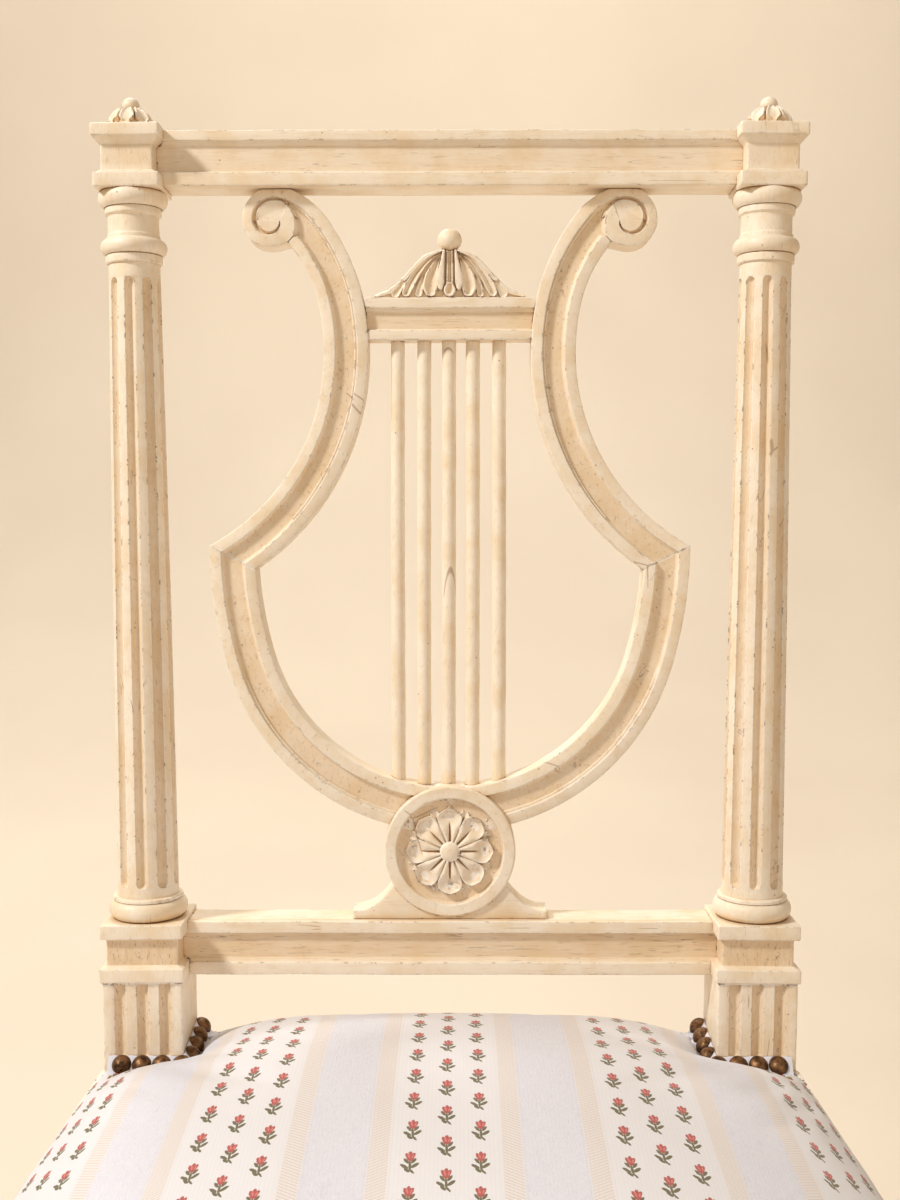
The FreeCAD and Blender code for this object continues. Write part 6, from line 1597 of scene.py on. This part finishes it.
@dataclass
class Seat:
    """The stuffed seat under its patterned cloth."""

    finishes: Finishes
    depth: float = 385.0
    front_width: float = 476.0
    inset: float = 1.5
    skin: float = 1.5
    block: float = 46.0
    top: float = 50.6
    post_half: float = 22.9
    pull: float = 28.0
    hem: float = 8.6
    white: float = 48.0
    grid: float = 0.0045
    frames: int = 20
    pressure: float = 4.0
    most_move: float = 0.005

    def side_x(self, y: Array) -> Array:
        """Half width over the side rails at a depth behind the front legs."""
        rear = BACK.post_seat_x + 22.6
        part = -y / self.depth
        return rear + (self.front_width / 2 - rear) * part - self.inset

    @property
    def rear(self) -> float:
        """Depth of the back rail's outer face."""
        return self.post_half - self.inset

    @property
    def fore(self) -> float:
        """Depth of the front rail's outer face."""
        return -self.depth - self.block / 2 + self.inset

    def crown(self, x: Array, y: Array) -> Array:
        """Height of the cloth over the rails' top.

        Args:
            x: place across, mm.
            y: place behind the front, mm.

        Returns:
            top (1 - n) (1 - exp(-g / pull)), with n the 2.6-norm of 1 - h / top for the rise h
            from each edge and g the distance from the nearest post.
        """
        side = np.interp(self.side_x(y) - np.abs(x), EDGE_INSET, EDGE_HEIGHT)
        back = np.interp(self.rear - y, [0, 3, 9, 17, 25, 50, 77, 103, 130, 160, 220],
                         [0.5, 5.0, 14.0, 21.0, 26.6, 35.6, 42.6, 46.8, 49.7, 50.6, self.top])
        fore = np.interp(y - self.fore, EDGE_INSET, EDGE_HEIGHT)
        norm = sum((1 - np.clip(h / self.top, 0, 1)) ** 2.6 for h in (side, back, fore)) ** (1 / 2.6)
        height = self.top * (1 - np.clip(norm, 0, 1))
        gap_x = np.abs(np.abs(x) - BACK.post_seat_x) - self.post_half
        gap_y = np.abs(y) - self.post_half
        gap = np.hypot(np.clip(gap_x, 0, None), np.clip(gap_y, 0, None))
        pulled = 1 - np.exp(-np.clip(gap - 1.0, 0, None) / self.pull)
        return np.maximum(height * pulled, 0.2)

    def cloth_place(self, points: Array) -> Array:
        """Pattern coordinates of points of the cloth.

        Args:
            points: rows of x, y, z in the chair's frame, mm.

        Returns:
            Distances along the cloth: x and y grown by the extra length of the slopes they cross.
        """
        x, y = points[:, 0], points[:, 1] - BACK.depth
        below = np.clip(BACK.seat_height - points[:, 2], 0, None)
        step = np.diff(EDGE_INSET)
        run = np.concatenate([[0], np.cumsum(np.hypot(step, np.diff(EDGE_HEIGHT)) - step)])

        def left(inset: Array) -> Array:
            """Extra length of the slope from a distance inside the edge to the crown."""
            return run[-1] - np.interp(np.clip(inset, 0, None), EDGE_INSET, run)

        spare = left(self.side_x(y) - np.abs(x))
        spare_back, spare_fore = left(self.rear - y), left(y - self.fore)
        at_side = (np.abs(x) > self.side_x(y) - 1) * below
        at_back, at_fore = (y > self.rear - 1) * below, (y < self.fore + 1) * below
        along = y + spare_back + at_back - spare_fore - at_fore
        return np.stack([x + np.sign(x) * (spare + at_side), along, np.zeros_like(x)], -1)

    def body(self) -> Array:
        """Rings of the closed seat from its skirt's inside, round the edge and over the crown."""
        side, back, fore = self.side_x(np.array(self.rear)), self.rear, self.fore
        wide = self.side_x(np.array(self.fore))
        corners = np.array([(-wide, fore), (wide, fore), (side, back), (-side, back)])
        outline = soften([(*c, 2.5) for c in corners], 2.5, True, 4)
        outline = divide(outline, 6.0, True)
        centre = np.array([0.0, -190.0])
        away = outline - centre
        reach = np.linalg.norm(away, axis=1, keepdims=True)
        unit = away / reach
        rings = []
        for step, level in ((-12.0, 433.4), (-12.0, 418.0), (-11.5, 404.0), (0.2, 403.0),
                            (self.skin, 404.0), (self.skin, 412.0), (self.skin, 420.0),
                            (self.skin, 427.0)):
            spot = outline + unit * step
            rings.append(np.concatenate([spot, np.full((len(spot), 1), level)], 1))
        for share in np.concatenate([[0.0, 0.006, 0.014, 0.024, 0.036], np.linspace(0.05, 1.0, 46)]):
            spot = centre + (away + unit * self.skin) * (1 - share)
            level = BACK.seat_height + self.crown(spot[:, 0], spot[:, 1])
            rings.append(np.concatenate([spot, level[:, None]], 1))
        inner = centre + (outline - unit * 12.0 - centre) * 0.5
        rings.insert(0, np.concatenate([inner, np.full((len(inner), 1), 433.4)], 1))
        body = np.array(rings)
        body[..., 1] += BACK.depth
        return body

    def stuff(self, piece: bpy.types.Object) -> None:
        """Fill the closed body with air pressure, let the cloth settle and hold its movement in bounds."""
        rest = np.zeros(len(piece.data.vertices) * 3)
        piece.data.vertices.foreach_get("co", rest)
        rest = rest.reshape(-1, 3)
        y = rest[:, 1] / METRE - BACK.depth
        gap = np.maximum(np.abs(np.abs(rest[:, 0]) / METRE - BACK.post_seat_x), np.abs(y)) - self.post_half
        held = piece.vertex_groups.new(name="held")
        weight = np.clip(np.maximum(rise(0.437, 0.431, rest[:, 2]), rise(14.0, 6.0, gap)), 0, 1)
        for index in np.nonzero(weight > 0.02)[0].tolist():
            held.add([index], float(weight[index]), "REPLACE")
        cloth = piece.modifiers.new("settle", "CLOTH")
        settings = cloth.settings
        settings.quality = 6
        settings.mass = 0.3
        settings.use_pressure = True
        settings.uniform_pressure_force = self.pressure
        settings.tension_stiffness = settings.compression_stiffness = 22.0
        settings.bending_stiffness = 2.5
        settings.effector_weights.gravity = 0.0
        settings.vertex_group_mass = "held"
        for number in range(1, self.frames + 1):
            bpy.context.scene.frame_set(number)
        shaped = piece.evaluated_get(bpy.context.evaluated_depsgraph_get()).to_mesh()
        settled = np.zeros(len(rest) * 3)
        shaped.vertices.foreach_get("co", settled)
        move = settled.reshape(-1, 3) - rest
        far = np.linalg.norm(move, axis=1, keepdims=True)
        move *= np.minimum(1.0, self.most_move / np.maximum(far, 1e-9))
        piece.modifiers.remove(cloth)
        piece.data.vertices.foreach_set("co", (rest + move).reshape(-1))
        bpy.context.scene.frame_set(1)

    def hems(self) -> None:
        """Make the folded edge that the nails hold round the front and inner side of each post."""
        fold = [(-0.6, 424.0), (-0.6, 438.2, 0.5), (0.5, 439.0, 0.8), (1.6, 438.0, 0.8),
                (self.hem, 430.6, 1.5), (self.hem + 1.0, 428.2, 1.0), (self.hem + 0.4, 424.0)]
        section = divide(soften(fold, 0.4, True, 3), 1.5, True)
        half = self.post_half
        turn = np.radians(np.linspace(0, 90, 7))
        along = np.linspace(0, 1, 30)[:, None]
        for side in Side:
            outer, inner = np.array([half - 3.5, -half]), np.array([-half, -half])
            rear = np.array([-half, half - 1.5])
            path = np.vstack([outer + (inner - outer) * along, inner + 0 * turn[:, None],
                              inner + (rear - inner) * along])
            normal = np.vstack([np.tile([0.0, -1.0], (30, 1)), np.stack([-np.sin(turn), -np.cos(turn)], -1),
                                np.tile([-1.0, 0.0], (30, 1))])
            spot = path[:, None] + normal[:, None] * section[None, :, :1]
            x = side.value * (spot[..., 0] + BACK.post_seat_x)
            wave = 0.25 * np.sin(np.arange(len(path)) * 0.9)[:, None]
            z = np.broadcast_to(section[:, 1], x.shape) + wave
            points = np.stack([x, spot[..., 1] + BACK.depth, z], -1)
            piece = Shell().grid(points, wrap=True, caps=True).make(f"hem_{side.word}", self.finishes.cloth)
            place = np.zeros((len(piece.data.vertices), 3), np.float32)
            place[:, 0] = self.white
            layer = piece.data.attributes.new("cloth", "FLOAT_VECTOR", "POINT")
            layer.data.foreach_set("vector", place.reshape(-1))
            stand_for(piece, "seat_fabric", "seat_cover")

    def make(self) -> bpy.types.Object:
        """Make the covered seat with its pattern coordinates."""
        shell = Shell().grid(self.body(), wrap=True, caps=True)
        rough = shell.make("seat_body", self.finishes.cloth, 60)
        remesh = rough.modifiers.new("even", "REMESH")
        remesh.mode = "VOXEL"
        remesh.voxel_size = self.grid
        even = bpy.data.meshes.new_from_object(rough.evaluated_get(bpy.context.evaluated_depsgraph_get()))
        bpy.data.objects.remove(rough)
        piece = finish_object("covered_seat", even, self.finishes.cloth, 60)
        self.stuff(piece)
        smooth = piece.modifiers.new("smooth", "SUBSURF")
        smooth.levels = smooth.render_levels = 1
        final = bpy.data.meshes.new_from_object(piece.evaluated_get(bpy.context.evaluated_depsgraph_get()))
        piece.modifiers.clear()
        piece.data = final
        co = np.zeros(len(final.vertices) * 3)
        final.vertices.foreach_get("co", co)
        layer = final.attributes.new("cloth", "FLOAT_VECTOR", "POINT")
        place = self.cloth_place(co.reshape(-1, 3) / METRE).astype(np.float32)
        layer.data.foreach_set("vector", place.reshape(-1))
        return stand_for(piece, "seat_fabric", "seat_cover", "seat_stuffing")


NODE_FINISHES = {
    "level": ("front_leg_left", "front_leg_right", "leg_rosettes", "seat_rail_front", "seat_rail_back",
              "seat_rail_left", "seat_rail_right", "crest_rail", "lower_back_rail"),
    "wood": ("corner_brace_front_left", "corner_brace_front_right", "corner_brace_rear_left",
             "corner_brace_rear_right", "lyre_dowels", "joint_pegs"),
    "steel": ("brace_screws", "webbing_tacks"),
    "bronze": ("trim_nails",),
    "jute": ("webbing_lengthwise", "webbing_crosswise"),
    "hessian": ("hessian",),
}


def dress_nodes(finishes: Finishes) -> None:
    """Give the drawn nodes that stay in view their finish."""
    for name, nodes in NODE_FINISHES.items():
        for node in nodes:
            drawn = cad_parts[node]
            drawn.data.materials.clear()
            drawn.data.materials.append(getattr(finishes, name))


# Room, light and camera

@dataclass
class Studio:
    """A pale floor and backdrop under soft light from the upper left."""

    floor_colour: Colour = rgb(228, 218, 204)
    backdrop: Colour = rgb(244, 236, 222)
    golden: Colour = (1.0, 0.82, 0.63)

    def floor(self) -> None:
        """A large floor that curves up far behind the chair."""
        line = soften([(-9.0, 0.0), (3.2, 0.0, 1.4), (3.2, 4.0)], 1.4, False, 14)
        line = divide(line, 0.25)
        x = np.linspace(-9, 9, 61)[:, None]
        points = np.stack([x + 0 * line[:, 0], line[:, 0] + 0 * x, line[:, 1] + 0 * x], -1) / METRE
        g = Graph("floor_look")
        grain = g.noise(g.place, 60, 3)
        cloud = g.noise(g.place, 1.5, 2)
        g.put(Base_Color=g.mix(cloud.span(0.3, 0.7) * 0.4, self.floor_colour, self.backdrop),
              Roughness=grain.span(0.2, 0.8, 0.7, 0.85), Normal=g.bump(grain, 0.0006, 0.2))
        sheet = Shell().grid(points).make("floor", g.material)

    def world(self) -> None:
        """Soft surrounding light, with the camera seeing a plain pale ground."""
        world = bpy.data.worlds.new("studio")
        bpy.context.scene.world = world
        world.use_nodes = True
        tree = world.node_tree
        tree.nodes.clear()
        output = tree.nodes.new("ShaderNodeOutputWorld")
        choose = tree.nodes.new("ShaderNodeMixShader")
        path = tree.nodes.new("ShaderNodeLightPath")
        seen, light = tree.nodes.new("ShaderNodeBackground"), tree.nodes.new("ShaderNodeBackground")
        seen.inputs[0].default_value = (*self.backdrop, 1.0)
        seen.inputs[1].default_value = 0.95
        light.inputs[0].default_value = (*self.golden, 1.0)
        light.inputs[1].default_value = 0.37
        tree.links.new(path.outputs["Is Camera Ray"], choose.inputs[0])
        tree.links.new(light.outputs[0], choose.inputs[1])
        tree.links.new(seen.outputs[0], choose.inputs[2])
        tree.links.new(choose.outputs[0], output.inputs[0])

    def lamp(self, name: str, at: tuple[float, float, float], aim: tuple[float, float, float], size: float,
             power: float, colour: Colour) -> None:
        """One soft square lamp at a place in metres, aimed at another."""
        data = bpy.data.lights.new(name, "AREA")
        data.size = size
        data.energy = power
        data.color = colour
        lamp = bpy.data.objects.new(name, data)
        lamp.location = at
        lamp.rotation_euler = (Vector(aim) - Vector(at)).to_track_quat("-Z", "Y").to_euler()
        bpy.context.scene.collection.objects.link(lamp)

    def camera(self) -> None:
        """The photo's viewpoint: a little over the seat, looking slightly down."""
        data = bpy.data.cameras.new("camera")
        data.lens = 56.22
        data.sensor_width = 36.0
        data.sensor_fit = "HORIZONTAL"
        camera = bpy.data.objects.new("camera", data)
        camera.location = (0.0045, -0.5965, 0.84505)
        camera.rotation_euler = (math.radians(90 - 11.022), math.radians(0.063), math.radians(0.304))
        bpy.context.scene.collection.objects.link(camera)
        bpy.context.scene.camera = camera

    def make(self) -> None:
        """Set up floor, world, lamps and camera."""
        self.floor()
        self.world()
        self.lamp("key", (-1.7, -0.5, 2.4), (0.0, 0.2, 0.7), 0.3, 50.0, (1.0, 0.95, 0.87))
        self.lamp("fill", (1.3, -2.0, 1.3), (0.0, 0.1, 0.6), 1.6, 12.0, self.golden)
        self.lamp("rim", (-0.7, 1.7, 2.3), (0.0, 0.2, 0.7), 0.5, 14.0, (1.0, 0.95, 0.88))
        self.lamp("wash", (0.0, 1.4, 2.8), (0.0, 3.3, 0.9), 1.6, 34.0, (1.0, 0.93, 0.84))
        self.camera()
        scene = bpy.context.scene
        scene.view_settings.view_transform = "Standard"
        scene.view_settings.look = "None"


def main() -> None:
    """Dress the drawn nodes, build every piece, and set up the room and the camera."""
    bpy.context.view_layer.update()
    finishes = Finishes()
    dress_nodes(finishes)
    for side in Side:
        RearPost(side, finishes.upright).make()
        Finial(side, finishes.carved).make()
    Moulding("crest", "crest_rail", CREST_SECTION, 166.5, -6.5, finishes.level, 0.25).make()
    Moulding("lower_rail", "lower_back_rail", LOWER_SECTION, 156.5, -6.5, finishes.level, 0.75).make()
    Lyre(finishes).make()
    seat = Seat(finishes)
    seat.make()
    seat.hems()
    Studio().make()


if __name__ == "__main__":
    main()
